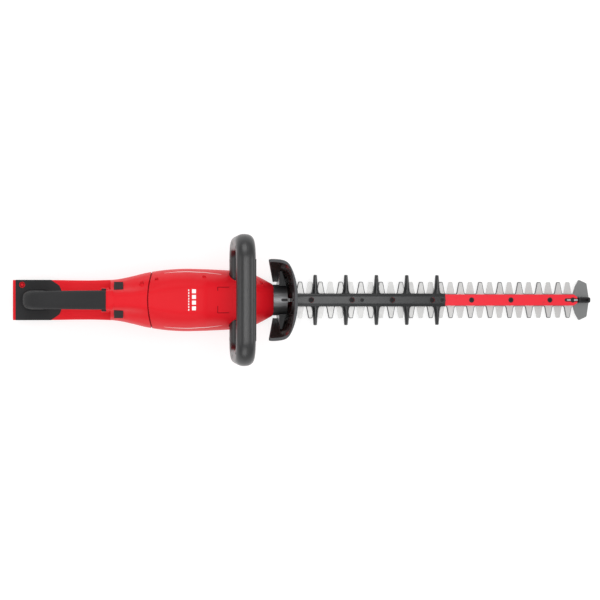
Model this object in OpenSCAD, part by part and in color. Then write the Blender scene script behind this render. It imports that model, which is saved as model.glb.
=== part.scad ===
// Cordless hedge trimmer: a battery-foot rear handle, a clamshell body, a metal gearcase with a
// two-cam crank, a bail handle, a hand guard, and two reciprocating blades under a bar.
// +X points along the blades, +Y to the operator's left, +Z up. The origin is on the crank's
// axis, in the plane of the gearcase's underside.

/* [Blades] */
// Distance between neighbouring teeth of one blade
tooth_pitch = 33; // [28:0.5:40]
// Teeth on each edge of each blade
tooth_count = 14; // [8:2:16]
// Width across the tooth tips
blade_span = 59; // [50:1:72]
// Width of a tooth at its tip
tooth_tip_w = 7; // [5:0.5:8.5]
// Width of a tooth where it meets the blade's strip
tooth_root_w = 14.5; // [12:0.5:17]
// Width of the solid strip along the middle of each blade
strip_w = 20; // [18:0.5:24]
// Thickness of each blade
blade_t = 2.4; // [1.8:0.1:3]
// Distance from the crank's axis to the first tooth's middle
first_tooth_x = 88; // [86:1:110]
// Height of the lower blade's underside above the base
blade_z = 13; // [12.5:0.5:18]

/* [Blade bar] */
// Width of the bar over the blades
bar_w = 18; // [14:0.5:19]
// Thickness of the bar
bar_t = 6.7; // [5:0.1:9]
// Diameter of the bolts that hold the blades to the bar
bolt_d = 5; // [4:0.5:6]
// Diameter of the spacers in the blades' slots
spacer_d = 8; // [7:0.5:9]
// Length of the ribbed guard that covers the rear of the bar
rail_len = 242; // [180:1:290]
// Pairs of blunt fingers on that guard
finger_pairs = 5; // [2:1:5]
// Distance between neighbouring fingers
finger_pitch = 50; // [30:1:52]
// Width across the finger tips
finger_span = 81; // [70:1:96]

/* [Tip guard] */
// Width of the steel plate at the tip
tip_plate_w = 67; // [60:1:80]
// Length of that plate in front of the bar
tip_plate_l = 24; // [20:1:30]
// Thickness of that plate
tip_plate_t = 2.5; // [2:0.1:4]

/* [Drive] */
// Teeth on the drive gear
gear_teeth = 48; // [44:2:52]
// Teeth on the motor's pinion
pinion_teeth = 12; // [12:2:16]
// Module of the gear pair
gear_module = 1.25; // [1:0.05:1.4]
// Thickness of the drive gear
gear_t = 10; // [7:0.5:12]
// Radius of each crank cam
cam_r = 11; // [10:0.5:12]
// Diameter of the crank's journals
journal_d = 12; // [10:1:13]

/* [Motor] */
// Outside diameter of the stator
stator_d = 54; // [44:1:56]
// Height of the stator's core
stator_h = 26; // [18:1:28]
// Diameter of the rotor
rotor_d = 28; // [22:1:30]
// Diameter of the motor's shaft
shaft_d = 6; // [5:0.5:8]

/* [Housing] */
// Wall of the moulded shells
wall = 2.6; // [2.2:0.1:3]
// Distance from the crank's axis back to the rear end of the battery foot
rear_len = 362; // [350:1:440]
// Width of the battery foot
foot_w = 62; // [58:1:74]
// Width of the rear grip
grip_w = 29; // [27:1:34]
// Height of the rear grip's section
grip_h = 36; // [34:1:40]
// Top of the rear grip above the base
grip_top = 124; // [120:1:130]
// Radius of the curved joint between rear housing and motor housing
seam_r = 121; // [105:1:150]

/* [Bail handle] */
// Width across the bail handle
bail_w = 196; // [180:1:240]
// Height of the bail handle's top above the base
bail_top = 208; // [196:1:250]
// Height of the middle of the bail handle's lower bars
bail_low = 84; // [80:1:86]
// Depth of the handle's section, front to back
bail_d = 29; // [26:1:33]
// Height of the handle's section
bail_h = 26; // [24:1:29]

/* [Hand guard] */
// Width across the hand guard
guard_w = 124; // [110:1:150]
// Height of the hand guard's top edge above the base
guard_top = 108; // [96:1:130]
// Thickness of the clear panel
guard_t = 3; // [2.4:0.1:4]

/* [Hidden] */
$fn = 48;
fit = 0.3;           // clearance around pieces that move or drop in
slip = 0.05;         // radial clearance of a running fit
big = 1000;          // larger than the whole trimmer

// heights of the stack, from the base up
cover_t = 3.5;
upper_z = blade_z + blade_t + 0.2;
bar_z = upper_z + blade_t + 0.3;
bar_top = bar_z + bar_t;
gear_z = bar_z + 5.7;
chamber_top = gear_z + gear_t + 4;
roof_top = chamber_top + 4;
cam_split = upper_z - 0.1;
cam_low = blade_z - 0.5;
cam_high = upper_z + blade_t + 0.4;

// crank, blades and gears
throw = tooth_pitch / 4;
orbit_r = cam_r + throw + 0.5;
yoke_r = orbit_r + 5;
yoke_run = 2 * throw;
gear_r = gear_module * gear_teeth / 2;
pinion_r = gear_module * pinion_teeth / 2;
motor_x = -(gear_r + pinion_r + 0.1);
journal_r = journal_d / 2;
case_wall = 3;
gear_room = gear_r + gear_module + 1.25;
pinion_room = pinion_r + gear_module + 1.5;
yoke_room = yoke_r + 0.75;
crank_bearing_r = 13;
crank_bearing_h = 9;
bush_r = journal_r + 3;
nose_x0 = 39.6;
nose_x1 = 61.6;
nose_r = 24.3;
nose_axis_z = 42;
guard_screw_y = 18.2;
guard_screw_z = [12, 32];
guard_screw_in = 4;
bar_x0 = 46;
bar_root_w = 40;
bar_screw_x = 54;
bar_screw_y = 15;
cover_spots = [[3, gear_room + 2.2], [3, -gear_room - 2.2], [-21, gear_room + 0.8],
               [-21, -gear_room - 0.8], [44.5, 20], [44.5, -20], [motor_x - pinion_room - 2.2, 0]];

// motor stack on the gearcase's roof
plate_t = 3;
core_z = roof_top + 12;
core_top = core_z + stator_h;
wind_h = 4.4;
fan_z = core_top + wind_h + 1.5;
fan_h = 5.5;
arm_z = fan_z + fan_h + 1;
arm_top = arm_z + plate_t;
bracket_r = stator_d / 2 + 3;
shaft_r = shaft_d / 2;
bearing_r = shaft_r + 6;
bearing_h = 6;

// bolts, slots and the tip
bolt_pitch = 2 * tooth_pitch;
bolt_x0 = first_tooth_x + tooth_pitch / 2;
bolt_count = floor(tooth_count / 2);
bolt_x = [for (i = [0:bolt_count - 1]) bolt_x0 + i * bolt_pitch];
last_tooth_x = first_tooth_x + (tooth_count - 0.5) * tooth_pitch;
tip_screw_x = last_tooth_x + 6;
blade_end = last_tooth_x + 6.2;
stack_x = concat(bolt_x, [tip_screw_x]);
bar_end = last_tooth_x + 13.5;
tip_end = bar_end + tip_plate_l;
slot_w = spacer_d + 2 * fit;
spacer_z = blade_z - 0.2;
washer_t = 1.4;
nut_h = 3.4;
head_r = 4;
head_h = 2.4;
rail_x0 = 82;
rail_x1 = rail_x0 + rail_len;
rail_wall = 1.35;
rail_top_t = 2.1;
finger_x = [for (i = [0:finger_pairs - 1]) rail_x0 + 30 + i * finger_pitch];
rail_screw_x = [bolt_x[0] + bolt_pitch * 1.25, bolt_x[0] + bolt_pitch * 3.25];

// rear housing
rear_x = -rear_len;
foot_len = 74;
foot_top = 40;
foot_z = 14;
low_bar_top = 46;
neck_x = -213;
grip_z = grip_top - grip_h;
skin_t = 1.5;
foot_skin = 1;
foot_top_skin = 1.5;
seam_x = -158;
trigger_x = neck_x - 9;
trigger_z = grip_z + 14;
trigger_len = 54;
trigger_w = 13;
pin_r = 2;
lock_x = -201;
lock_y = 18.5;
lock_z = 98;
lock_l = 13.6;
lock_w = 17;
lock_tilt = 38;
boss_r = 4;
screw_r = 1.6;
screw_head_r = 2.8;

// bail handle
bail_x = -17;
bail_side = bail_w / 2 - bail_h / 2;
bail_upper = bail_top - bail_h / 2;
bail_root_y = 33;
bail_wall = 3;
bail_corner = 12;
bail_reach = bail_d / 2 - 1.4;
bend_low = 22;
bend_top = 26;
switch_half = 60;
switch_h = 10;

// Half sections of the body, top centre to bottom centre, at stations along X:
// [x, top z, flat half width, shoulder half width, shoulder z, widest, its z, bottom half width,
// bottom z]
STATIONS = [
    [-213, 121,  9, 14, 103, 31.5, 78, 30, 14],
    [-198, 122, 10, 16, 103, 33.5, 79, 32, 13],
    [-177, 123, 12, 22, 107, 38.5, 80, 36, 12],
    [-158, 124, 15, 29, 110, 43.5, 79, 40, 11],
    [-130, 124, 19, 35, 109, 48,   76, 44, 10],
    [-100, 123, 22, 38, 106, 50,   72, 46, 9],
    [ -60, 118, 22, 37, 101, 49,   69, 46, 9],
    [ -28, 109, 21, 34,  95, 47.4, 66, 45, 9],
    [   0,  98, 18, 31,  85, 43.8, 62, 43, 9],
    [  14,  90, 16, 27,  79, 39,   59, 38, 9],
    [  28,  79, 14, 23,  71, 32,   55, 32, 9],
    [  39,  69, 12, 20,  64, 26,   50, 26, 9]
];

function mix(a, b, t) = a + (b - a) * t;
function reversed(p) = [for (i = [len(p) - 1:-1:0]) p[i]];
// Cubic through the table's rows, so that the body runs smoothly along X
function slope(T, i) = i == 0 ? (T[1] - T[0]) / (T[1][0] - T[0][0])
    : i == len(T) - 1 ? (T[i] - T[i - 1]) / (T[i][0] - T[i - 1][0])
    : (T[i + 1] - T[i - 1]) / (T[i + 1][0] - T[i - 1][0]);
function row_at(T, x) =
    let (i = max([for (k = [0:len(T) - 2]) if (T[k][0] <= x + 0.001) k]),
         h = T[i + 1][0] - T[i][0],
         t = (x - T[i][0]) / h)
    (2 * t^3 - 3 * t^2 + 1) * T[i] + (t^3 - 2 * t^2 + t) * h * slope(T, i)
    + (3 * t^2 - 2 * t^3) * T[i + 1] + (t^3 - t^2) * h * slope(T, i + 1);
// One pass of corner cutting on an open line, which keeps its two ends
function cut_corners(p) = concat([p[0]],
    [for (i = [0:len(p) - 2]) each [
        if (i > 0) mix(p[i], p[i + 1], 0.25),
        if (i < len(p) - 2) mix(p[i], p[i + 1], 0.75)]],
    [p[len(p) - 1]]);
function half_section(x, inset) =
    let (s = row_at(STATIONS, x))
    cut_corners([
        [0, s[1] - inset], [s[2] - inset * 0.4, s[1] - inset], [s[3] - inset * 0.8, s[4] - inset * 0.5],
        [s[5] - inset, s[6]], [s[7] - inset, s[8] + inset], [0, s[8] + inset]]);
// Skin over rings of points, each a closed outline with an even number of points, which runs
// counter-clockwise seen from the last ring's side; its two ends are closed strip by strip
module skin(rings) {
    m = len(rings[0]);
    n = len(rings);
    e = (n - 1) * m;
    polyhedron(
        points = [for (r = rings) each r],
        faces = concat(
            [for (j = [0:m / 2 - 2]) let (p = m - 1 - j) each [
                [j, j + 1, p - 1], [j, p - 1, p],
                [e + j, e + p - 1, e + j + 1], [e + j, e + p, e + p - 1]]],
            [for (i = [0:n - 2]) for (j = [0:m - 1]) each
                let (k = (j + 1) % m, a = i * m + j, b = i * m + k)
                [[a, a + m, b], [b, a + m, b + m]]]),
        convexity = 6);
}
// Left half of the body, solid, its surface moved inwards by the inset
module body_half(x0, x1, steps, inset) {
    skin([for (i = [0:steps]) let (x = mix(x0, x1, i / steps), h = half_section(x, inset))
        [for (p = reversed(h)) [x, p[0], p[1]]]]);
}
// Left half of the body's wall alone
module body_wall(x0, x1, steps) {
    skin([for (i = [0:steps])
        let (x = mix(x0, x1, i / steps), h = half_section(x, 0), g = half_section(x, wall))
        concat([for (p = reversed(h)) [x, p[0], p[1]]], [for (p = g) [x, p[0], p[1]]])]);
}
// A round wire along points, smoothed between them
function wire_at(p, t) =
    let (n = len(p) - 1, i = min(floor(t * n), n - 1), s = t * n - i,
         a = p[max(i - 1, 0)], b = p[i], c = p[i + 1], d = p[min(i + 2, n)])
    b + (c - a) * (s / 2) + (2 * a - 5 * b + 4 * c - d) * (s^2 / 2) + (3 * b - 3 * c + d - a) * (s^3 / 2);
function unit(v) = v / norm(v);
module tube_along(q, r, sides) {
    n = len(q) - 1;
    skin([for (i = [0:n])
        let (d = unit(q[min(i + 1, n)] - q[max(i - 1, 0)]),
             u = unit(cross(d, abs(d[2]) < 0.9 ? [0, 0, 1] : [0, 1, 0])), v = cross(d, u))
        [for (k = [0:sides - 1]) q[i] + (u * cos(360 * k / sides) + v * sin(360 * k / sides)) * r]]);
}
module wire(p, r, rings) {
    tube_along([for (i = [0:rings]) wire_at(p, i / rings)], r, 8);
}
// A coil spring up the Z axis
module coil(r, wire_r, h, turns) {
    rings = turns * 10;
    tube_along([for (i = [0:rings])
        [r * cos(36 * i), r * sin(36 * i), wire_r + (h - 2 * wire_r) * i / rings]], wire_r, 6);
}
module mirrored() {
    children();
    mirror([0, 1, 0]) children();
}
// A round bar along Y, and one along X
module bar_y(x, z, y0, y1, r) {
    translate([x, y1, z]) rotate([90, 0, 0]) cylinder(r = r, h = y1 - y0);
}
module bar_x(y, z, x0, x1, r) {
    translate([x0, y, z]) rotate([0, 90, 0]) cylinder(r = r, h = x1 - x0);
}
// A round bar along Z
module bar_up(x, y, z0, z1, r) {
    translate([x, y, z0]) cylinder(r = r, h = z1 - z0);
}
// A block given by its low corner and its high corner
module block(a, b) {
    translate(a) cube(b - a);
}
// A plate that stands in the XZ plane between two Y values, from an outline of [x, z] points
module plate_y(y0, y1) {
    translate([0, y1, 0]) rotate([90, 0, 0]) linear_extrude(y1 - y0) children();
}
// An outline whose corners are rounded: each point is [x, y, radius], counter-clockwise
function round_corner(a, b, c, r, n) =
    r <= 0 ? [b] :
    let (u = unit(a - b), v = unit(c - b), half = acos(max(-1, min(1, u * v))) / 2, d = r / tan(half),
         m = b + unit(u + v) * (r / sin(half)), s = b + u * d - m, e = b + v * d - m,
         turn = (180 - 2 * half) * (s[0] * e[1] - s[1] * e[0] > 0 ? 1 : -1))
    [for (i = [0:n]) let (t = turn * i / n)
        m + [s[0] * cos(t) - s[1] * sin(t), s[0] * sin(t) + s[1] * cos(t)]];
function xy(p) = [p[0], p[1]];
function rounded(p, n = 6) = [for (i = [0:len(p) - 1])
    each round_corner(xy(p[(i + len(p) - 1) % len(p)]), xy(p[i]), xy(p[(i + 1) % len(p)]), p[i][2], n)];
// A slot with round ends along X
module slot_2d(x, run, w) {
    translate([x - run / 2, -w / 2]) square([run, w]);
    for (s = [-1, 1]) translate([x + s * run / 2, 0]) circle(d = w);
}

// ---------------------------------------------------------------- rear housing
// Housing screws: x, z, and how far out the boss runs to meet its shell
rear_spots = [[rear_x + 12, 24, foot_w / 2 - 1.4], [rear_x + foot_len - 18, 22, foot_w / 2 - 1.4],
              [neck_x - 26, 22, foot_w / 2 - 1.4], [neck_x + 16, 22, 30], [neck_x + 47, 106, 25],
              [rear_x + 42, 102, grip_w / 2 - 2.5]];
motor_spots = [[seam_x + 14, 108, 27], [seam_x + 20, 22, 40], [-76, 22, 44], [-72, 106, 31],
               [20, 74, 24]];

module lower_block(s) {
    intersection() {
        translate([0, 0, foot_z + s]) linear_extrude(60) polygon(rounded([
            [rear_x + s, -foot_w / 2 + s, 4], [neck_x + 20 - s, -foot_w / 2 + s, 0],
            [neck_x + 20 - s, foot_w / 2 - s, 0], [rear_x + s, foot_w / 2 - s, 4]]));
        plate_y(-foot_w, foot_w) polygon([
            [rear_x + s, foot_z + s], [neck_x + 20, foot_z + s], [neck_x + 20, low_bar_top - s],
            [neck_x, low_bar_top - s], [neck_x - 30, low_bar_top - 2 - s],
            [rear_x + foot_len + 4, low_bar_top - 3 - s], [rear_x + foot_len, foot_top - s],
            [rear_x + s, foot_top - s]]);
    }
}
// Side view of the grip: the rear post, and the bar that runs forward from it
module grip_block(s, w) {
    plate_y(-w / 2, w / 2) polygon(rounded([
        [rear_x + 18 + s, foot_top - 8, 0], [rear_x + foot_len - 16 - s, foot_top - 8, 0],
        [rear_x + foot_len - 22 - s, grip_z + s, 14], [neck_x + 12, grip_z + s, 0],
        [neck_x + 12, grip_top - 3 - s, 0], [rear_x + foot_len - 10, grip_top - s, 40],
        [rear_x + 28 + s, grip_top - 3 - s, 26]]));
}
module rear_blocks(s) {
    lower_block(s);
    grip_block(s + skin_t, grip_w - 2 * skin_t - 2 * s);
}
module rear_skin() {
    body_wall(neck_x, seam_x + 14, 6);
    intersection() {
        body_half(neck_x, seam_x, 4, 0);
        block([neck_x, 0, 0], [neck_x + wall, big, big]);
    }
    intersection() {
        union() {
            rear_blocks(0);
            bar_y(trigger_x, trigger_z, 0, grip_w / 2 + 2, 6.5);
        }
        block([-big, 0, 0], [neck_x, big, big]);
    }
}
module lock_place() {
    translate([lock_x, lock_y, lock_z]) rotate([-lock_tilt, 0, 0]) children();
}
module foot_skin_blank(s) {
    translate([0, 0, foot_z + 12]) linear_extrude(40) polygon([
        [rear_x + 4 + s, -foot_w / 2], [rear_x + foot_len - 16 - s, -foot_w / 2],
        [rear_x + foot_len - 3 - s, -foot_w / 2 + 9], [rear_x + foot_len - s, -foot_w / 2 + 16],
        [rear_x + foot_len - s, foot_w / 2 - 16], [rear_x + foot_len - 3 - s, foot_w / 2 - 9],
        [rear_x + foot_len - 16 - s, foot_w / 2], [rear_x + 4 + s, foot_w / 2]]);
}
module trigger_room(s) {
    block([trigger_x - trigger_len - 4 - s, -trigger_w / 2 - 0.6 - s, grip_z - 2],
          [neck_x + 2, trigger_w / 2 + 0.6 + s, grip_z + 5]);
}
// The four contacts' shared opening in the foot's floor
module terminal_gap() {
    block([rear_x + 30, -big, foot_z - 1], [rear_x + 48, 8.6, foot_z + wall + 0.1]);
}
module rear_half() {
    difference() {
        union() {
            difference() {
                rear_skin();
                rear_blocks(wall);
                bar_y(trigger_x, trigger_z, -1, grip_w / 2 - skin_t - wall, 6);
            }
            for (p = rear_spots) bar_y(p[0], p[1], 0, p[2], boss_r);
        }
        translate([seam_x + seam_r, 0, -1]) cylinder(r = seam_r + 0.4, h = 200, $fn = 128);
        for (p = rear_spots) bar_y(p[0], p[1], -1, 60, screw_r);
        bar_y(trigger_x, trigger_z, -1, grip_w / 2, pin_r + slip);
        trigger_room(0);
        terminal_gap();
        lock_place()
            block([-lock_l / 2 - fit, -lock_w / 2 - fit, -9], [lock_l / 2 + fit, lock_w / 2 + fit, 14]);
        difference() {
            foot_skin_blank(0);
            foot_core(0);
            grip_block(skin_t, grip_w - 2 * skin_t);
        }
    }
}
// The hard foot under its soft skin
module foot_core(s) {
    half = foot_w / 2 - foot_skin + s;
    block([rear_x - 1, -half, foot_z], [rear_x + foot_len + 1, half, foot_top - foot_top_skin + s]);
}
module rear_housing_left() {
    color("firebrick") difference() {
        rear_half();
        for (p = rear_spots) bar_y(p[0], p[1], 10, 60, screw_head_r + 0.2);
    }
}
module rear_housing_right() {
    color("firebrick") mirror([0, 1, 0]) rear_half();
}
module housing_screws() {
    color("dimgray") for (p = concat(rear_spots, motor_spots)) difference() {
        union() {
            bar_y(p[0], p[1], -9, 10.1, screw_r - 0.1);
            bar_y(p[0], p[1], 10.05, 12.2, screw_head_r);
        }
        bar_y(p[0], p[1], 11, 13, 1.3);
    }
}
module grip_overmould() {
    color("dimgray") difference() {
        grip_block(0, grip_w);
        grip_block(skin_t - 0.02, grip_w - 2 * skin_t + 0.04);
        block([neck_x - 5, -big, -big], [big, big, big]);
        block([rear_x, -big, -big], [big, big, foot_top + 0.1]);
        bar_y(trigger_x, trigger_z, -big, big, 6.8);
        trigger_room(0.4);
    }
}
module foot_overmould() {
    color("dimgray") difference() {
        intersection() {
            foot_skin_blank(0.05);
            block([rear_x, -foot_w, foot_z + 12.1], [0, foot_w, foot_top]);
        }
        foot_core(0.05);
        grip_block(skin_t - 0.1, grip_w - 2 * skin_t + 0.2);
        bar_up(rear_x + 14, foot_w / 2 - 7.5, 0, big, 4.6);
    }
}

// ---------------------------------------------------------------- battery dock
dock_top = foot_z - 0.1;
rail_in = 20;
module battery_dock() {
    color("black") difference() {
        block([rear_x + 5, -foot_w / 2 + 1, 0], [rear_x + foot_len - 3, foot_w / 2 - 1, dock_top]);
        block([rear_x, -rail_in - 5, 3.2], [rear_x + foot_len - 8, rail_in + 5, 9]);
        block([rear_x, -rail_in, -1], [rear_x + foot_len - 8, rail_in, 6]);
        block([rear_x + 26, -13.1, 5], [rear_x + 52.1, 13.1, big]);
    }
}
module terminal_block() {
    color("dimgray") difference() {
        union() {
            block([rear_x + 26.2, -13, 9], [rear_x + 52, 13, dock_top]);
            block([rear_x + 28, -11, 4], [rear_x + 50, 11, 9.1]);
        }
        for (y = [-7.5, -2.5, 2.5, 7.5]) block([rear_x + 30, y - 1.2, 0], [rear_x + 48, y + 1.2, big]);
    }
}
module battery_terminals() {
    color("gold") for (y = [-7.5, -2.5, 2.5, 7.5])
        block([rear_x + 31, y - 0.5, 3.4], [rear_x + 47, y + 0.5, dock_top + 3.6]);
}

// ---------------------------------------------------------------- trigger and lock-off buttons
module trigger() {
    color("black") difference() {
        union() {
            bar_y(trigger_x, trigger_z, -trigger_w / 2, trigger_w / 2, 5);
            plate_y(-trigger_w / 2, trigger_w / 2) polygon(rounded([
                [trigger_x - trigger_len, grip_z - 6, 5], [trigger_x - 20, grip_z - 9, 14],
                [trigger_x + 6, grip_z - 4, 4], [trigger_x + 5, trigger_z, 0],
                [trigger_x - trigger_len, grip_z + 7, 2]]));
        }
        bar_y(trigger_x, trigger_z, -big, big, pin_r + slip);
        bar_up(trigger_x - 34, 0, grip_z + 4, big, 3.6);
    }
}
module trigger_pin() {
    color("silver") bar_y(trigger_x, trigger_z, -grip_w / 2 + skin_t + 0.2, grip_w / 2 - skin_t - 0.2, pin_r);
}
module trigger_spring() {
    color("silver") translate([trigger_x - 34, 0, grip_z + 4.1]) coil(2.6, 0.5, 10, 5);
}
module trigger_switch() {
    color("black") block([trigger_x - 58, -7, grip_top - 17], [trigger_x - 39, 7, grip_top - 7]);
    color("dimgray") bar_up(trigger_x - 47, 0, grip_top - 19, grip_top - 16.9, 2);
}
module lock_button() {
    lock_place() difference() {
        union() {
            block([-lock_l / 2, -lock_w / 2, -8], [lock_l / 2, lock_w / 2, 4]);
            block([-lock_l / 2 - 1.5, -lock_w / 2 + 1, -8.5], [lock_l / 2 + 1.5, lock_w / 2 + 1, -6.8]);
        }
        bar_up(0, 0, -10, 0, 3.5);
        for (x = [-4, -1.3, 1.4, 4.1]) block([x, -lock_w, 3.5], [x + 1, lock_w, 5]);
    }
}
module lock_button_left() {
    color("dimgray") lock_button();
}
module lock_button_right() {
    color("dimgray") mirror([0, 1, 0]) lock_button();
}
module lock_spring_left() {
    color("silver") lock_place() translate([0, 0, -8.4]) coil(2.6, 0.4, 8, 4);
}
module lock_spring_right() {
    color("silver") mirror([0, 1, 0]) lock_place() translate([0, 0, -8.4]) coil(2.6, 0.4, 8, 4);
}

// ---------------------------------------------------------------- motor housing
module collar_2d(s) {
    translate([-nose_axis_z, 0]) circle(r = nose_r - s);
    translate([-nose_axis_z, -nose_r + s]) square([nose_axis_z - cover_t, 2 * (nose_r - s)]);
}
module case_2d(s) {
    circle(r = gear_room + s);
    for (x = [-yoke_run, yoke_run]) translate([x, 0]) circle(r = yoke_room + s);
    translate([motor_x, 0]) circle(r = pinion_room + s);
}
module case_outline_2d(s) {
    case_2d(case_wall + s);
    for (p = cover_spots) translate(p) circle(r = 4 + s);
    translate([nose_x0 - 14, -nose_r + 2 - s]) square([nose_x1 - nose_x0 + 4, 2 * nose_r - 4 + 2 * s]);
}
module motor_half() {
    difference() {
        union() {
            body_wall(seam_x - 4, nose_x0 - 0.6, 24);
            for (p = motor_spots) bar_y(p[0], p[1], 0, p[2], boss_r);
        }
        difference() {
            block([-big, -big, -big], [seam_x + seam_r, big, big]);
            translate([seam_x + seam_r, 0, -1]) cylinder(r = seam_r, h = 200, $fn = 128);
        }
        for (p = motor_spots) bar_y(p[0], p[1], -1, 60, screw_r);
        translate([0, 0, -1]) linear_extrude(26) case_outline_2d(0.6);
        linear_extrude(roof_top + 0.6) case_2d(case_wall + 0.6);
        bail_root(-0.2);
        for (i = [0:4]) block([-98 + 8 * i, 20, 18 + 2 * i], [-94 + 8 * i, 60, 44 - i]);
    }
}
module motor_housing_left() {
    color("firebrick") difference() {
        motor_half();
        for (p = motor_spots) bar_y(p[0], p[1], 10, 60, screw_head_r + 0.2);
    }
}
module motor_housing_right() {
    color("firebrick") mirror([0, 1, 0]) motor_half();
}
module control_board() {
    color("darkgreen") block([-142, -24, 32], [-92, 24, 34]);
    color("silver") for (i = [0:5]) block([-136 + 7 * i, -20, 33.9], [-133 + 7 * i, 20, 44]);
    color("black") for (y = [-14, 0, 14]) block([-98, y - 5, 33.9], [-94, y + 5, 42]);
}
module battery_leads() {
    color("red") mirrored() wire([
        [rear_x + 40, 3, 20], [rear_x + 48, 4, 25], [rear_x + 62, 4, 33], [-270, 5, 34], [-230, 5, 34],
        [-196, 6, 34], [-170, 8, 36], [-144, 10, 38], [-138, 10, 37.5]], 1.4, 26);
}
module switch_leads() {
    color("dimgray") mirrored() wire([[trigger_x - 38.5, 3, 112], [-246, 3, 113.5], [-229, 3, 113.5],
        [-215, 3, 106], [-206, 3, 91], [-180, 7, 70], [-156, 14, 52], [-141, 16, 38], [-139.5, 16, 36]],
        0.9, 24);
}
module motor_leads() {
    color("black") for (y = [-14, 0, 14]) wire([[-93.6, y, 38], [-84, y, 40],
        [-78, y * 0.8, 45], [-71, y * 0.5, 50.8], [-62, y * 0.45, 50.8]], 1.3, 14);
}

// ---------------------------------------------------------------- gearcase
// Three small holes around the motor's axis, where its bracket is pinned to the roof
module bracket_holes(z0, z1) {
    r = bracket_r - 1.5;
    for (a = [60:120:300]) bar_up(motor_x + r * cos(a), r * sin(a), z0, z1, 1.2);
}
module gearcase() {
    color("gray") difference() {
        union() {
            translate([0, 0, cover_t + 0.1]) linear_extrude(roof_top - cover_t - 0.1) {
                case_2d(case_wall);
                for (p = cover_spots) translate(p) circle(r = 4);
                translate([nose_x0 - 14, -nose_r + 2]) square([nose_x1 - nose_x0 + 4, 2 * nose_r - 4]);
            }
            bar_up(0, 0, roof_top - 1, chamber_top + crank_bearing_h + 1.8, crank_bearing_r + 3);
            translate([nose_x0, 0, 0]) rotate([0, 90, 0]) linear_extrude(nose_x1 - nose_x0) collar_2d(0);
        }
        translate([0, 0, -1]) linear_extrude(chamber_top + 1) case_2d(0);
        bar_up(0, 0, roof_top - 5, chamber_top + crank_bearing_h + 0.6, crank_bearing_r + slip);
        bar_up(motor_x, 0, roof_top - 5, big, bearing_r + slip);
        block([20, -strip_w / 2 - 0.8, -1], [big, strip_w / 2 + 0.8, bar_z - 0.1]);
        block([bar_x0 - 0.2, -bar_root_w / 2 - 0.1, bar_z - 0.1],
              [bar_x0 + 13, bar_root_w / 2 + 0.1, bar_top + 0.1]);
        block([bar_x0, -bar_w / 2 - 0.1, bar_z - 0.2], [big, bar_w / 2 + 0.1, bar_top + 0.1]);
        block([20, -nose_r + 6, bar_top + 5], [nose_x1 - 4, nose_r - 6, nose_axis_z]);
        bar_x(0, nose_axis_z, 20, nose_x1 - 4, nose_r - 6);
        for (p = cover_spots) bar_up(p[0], p[1], 0, roof_top - 6, screw_r);
        for (y = [-bar_screw_y, bar_screw_y]) {
            bar_up(bar_screw_x, y, 0, 7, 4.2);
            bar_up(bar_screw_x, y, 0, bar_top + 4, 2.3);
        }
        bracket_holes(chamber_top, big);
        for (y = [-guard_screw_y, guard_screw_y]) for (z = guard_screw_z)
            bar_x(y, z, nose_x1 - guard_screw_in - 0.1, big, 1.3);
    }
}
module gearcase_cover() {
    color("gray") difference() {
        union() {
            linear_extrude(cover_t) {
                case_outline_2d(0);
                translate([nose_x0 - 14, -nose_r]) square([nose_x1 - nose_x0 + 14, 2 * nose_r]);
            }
            bar_up(0, 0, 1, blade_z - 1.5, bush_r + 2.5);
        }
        bar_up(0, 0, 1.4, big, bush_r + 0.02);
        for (p = cover_spots) {
            bar_up(p[0], p[1], -1, big, screw_r);
            bar_up(p[0], p[1], -1, 2, screw_head_r + 0.2);
        }
    }
}
module cover_screws() {
    color("dimgray") for (p = cover_spots) difference() {
        union() {
            bar_up(p[0], p[1], 0.4, 1.98, screw_head_r);
            bar_up(p[0], p[1], 1.9, 16, screw_r - 0.1);
        }
        bar_up(p[0], p[1], 0, 1.4, 1.3);
    }
}
module crank_bearing() {
    color("silver") difference() {
        bar_up(0, 0, chamber_top + 0.5, chamber_top + 0.5 + crank_bearing_h, crank_bearing_r);
        bar_up(0, 0, 0, big, journal_r + slip);
        for (s = [chamber_top - 0.5, chamber_top + crank_bearing_h])
            difference() {
                bar_up(0, 0, s, s + 1.5, crank_bearing_r - 2);
                bar_up(0, 0, s - 1, s + 3, journal_r + 2);
            }
    }
}
module crank_bush() {
    color("goldenrod") difference() {
        bar_up(0, 0, 1.5, blade_z - 1.6, bush_r);
        bar_up(0, 0, 0, big, journal_r + slip);
    }
}

// ---------------------------------------------------------------- gear pair
// Tooth outline from the base circle's unwound line, thinned a little so that the pair runs freely
pressure = 20;
function roll_angle(r, base) = r <= base ? 0 : sqrt((r / base)^2 - 1) * 180 / PI - acos(base / r);
function half_tooth(r, pitch, n, thin) =
    let (base = pitch * cos(pressure))
    90 / n - thin / pitch * 90 / PI + roll_angle(pitch, base) - roll_angle(r, base);
function flank_point(r, mid, side, n, pitch, thin, tuck) =
    let (a = mid + side * (half_tooth(r, pitch, n, thin) - (r < pitch ? tuck : 0)))
    [r * cos(a), r * sin(a)];
function gear_points(n, pitch, thin, tuck) =
    let (root = pitch - 1.2 * gear_module, tip = pitch + 0.8 * gear_module, steps = 4)
    [for (k = [0:n - 1]) let (mid = 360 * k / n) each concat(
        [for (i = [0:steps]) flank_point(mix(root, tip, i / steps), mid, -1, n, pitch, thin, tuck)],
        [for (i = [steps:-1:0]) flank_point(mix(root, tip, i / steps), mid, 1, n, pitch, thin, tuck)])];
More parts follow.
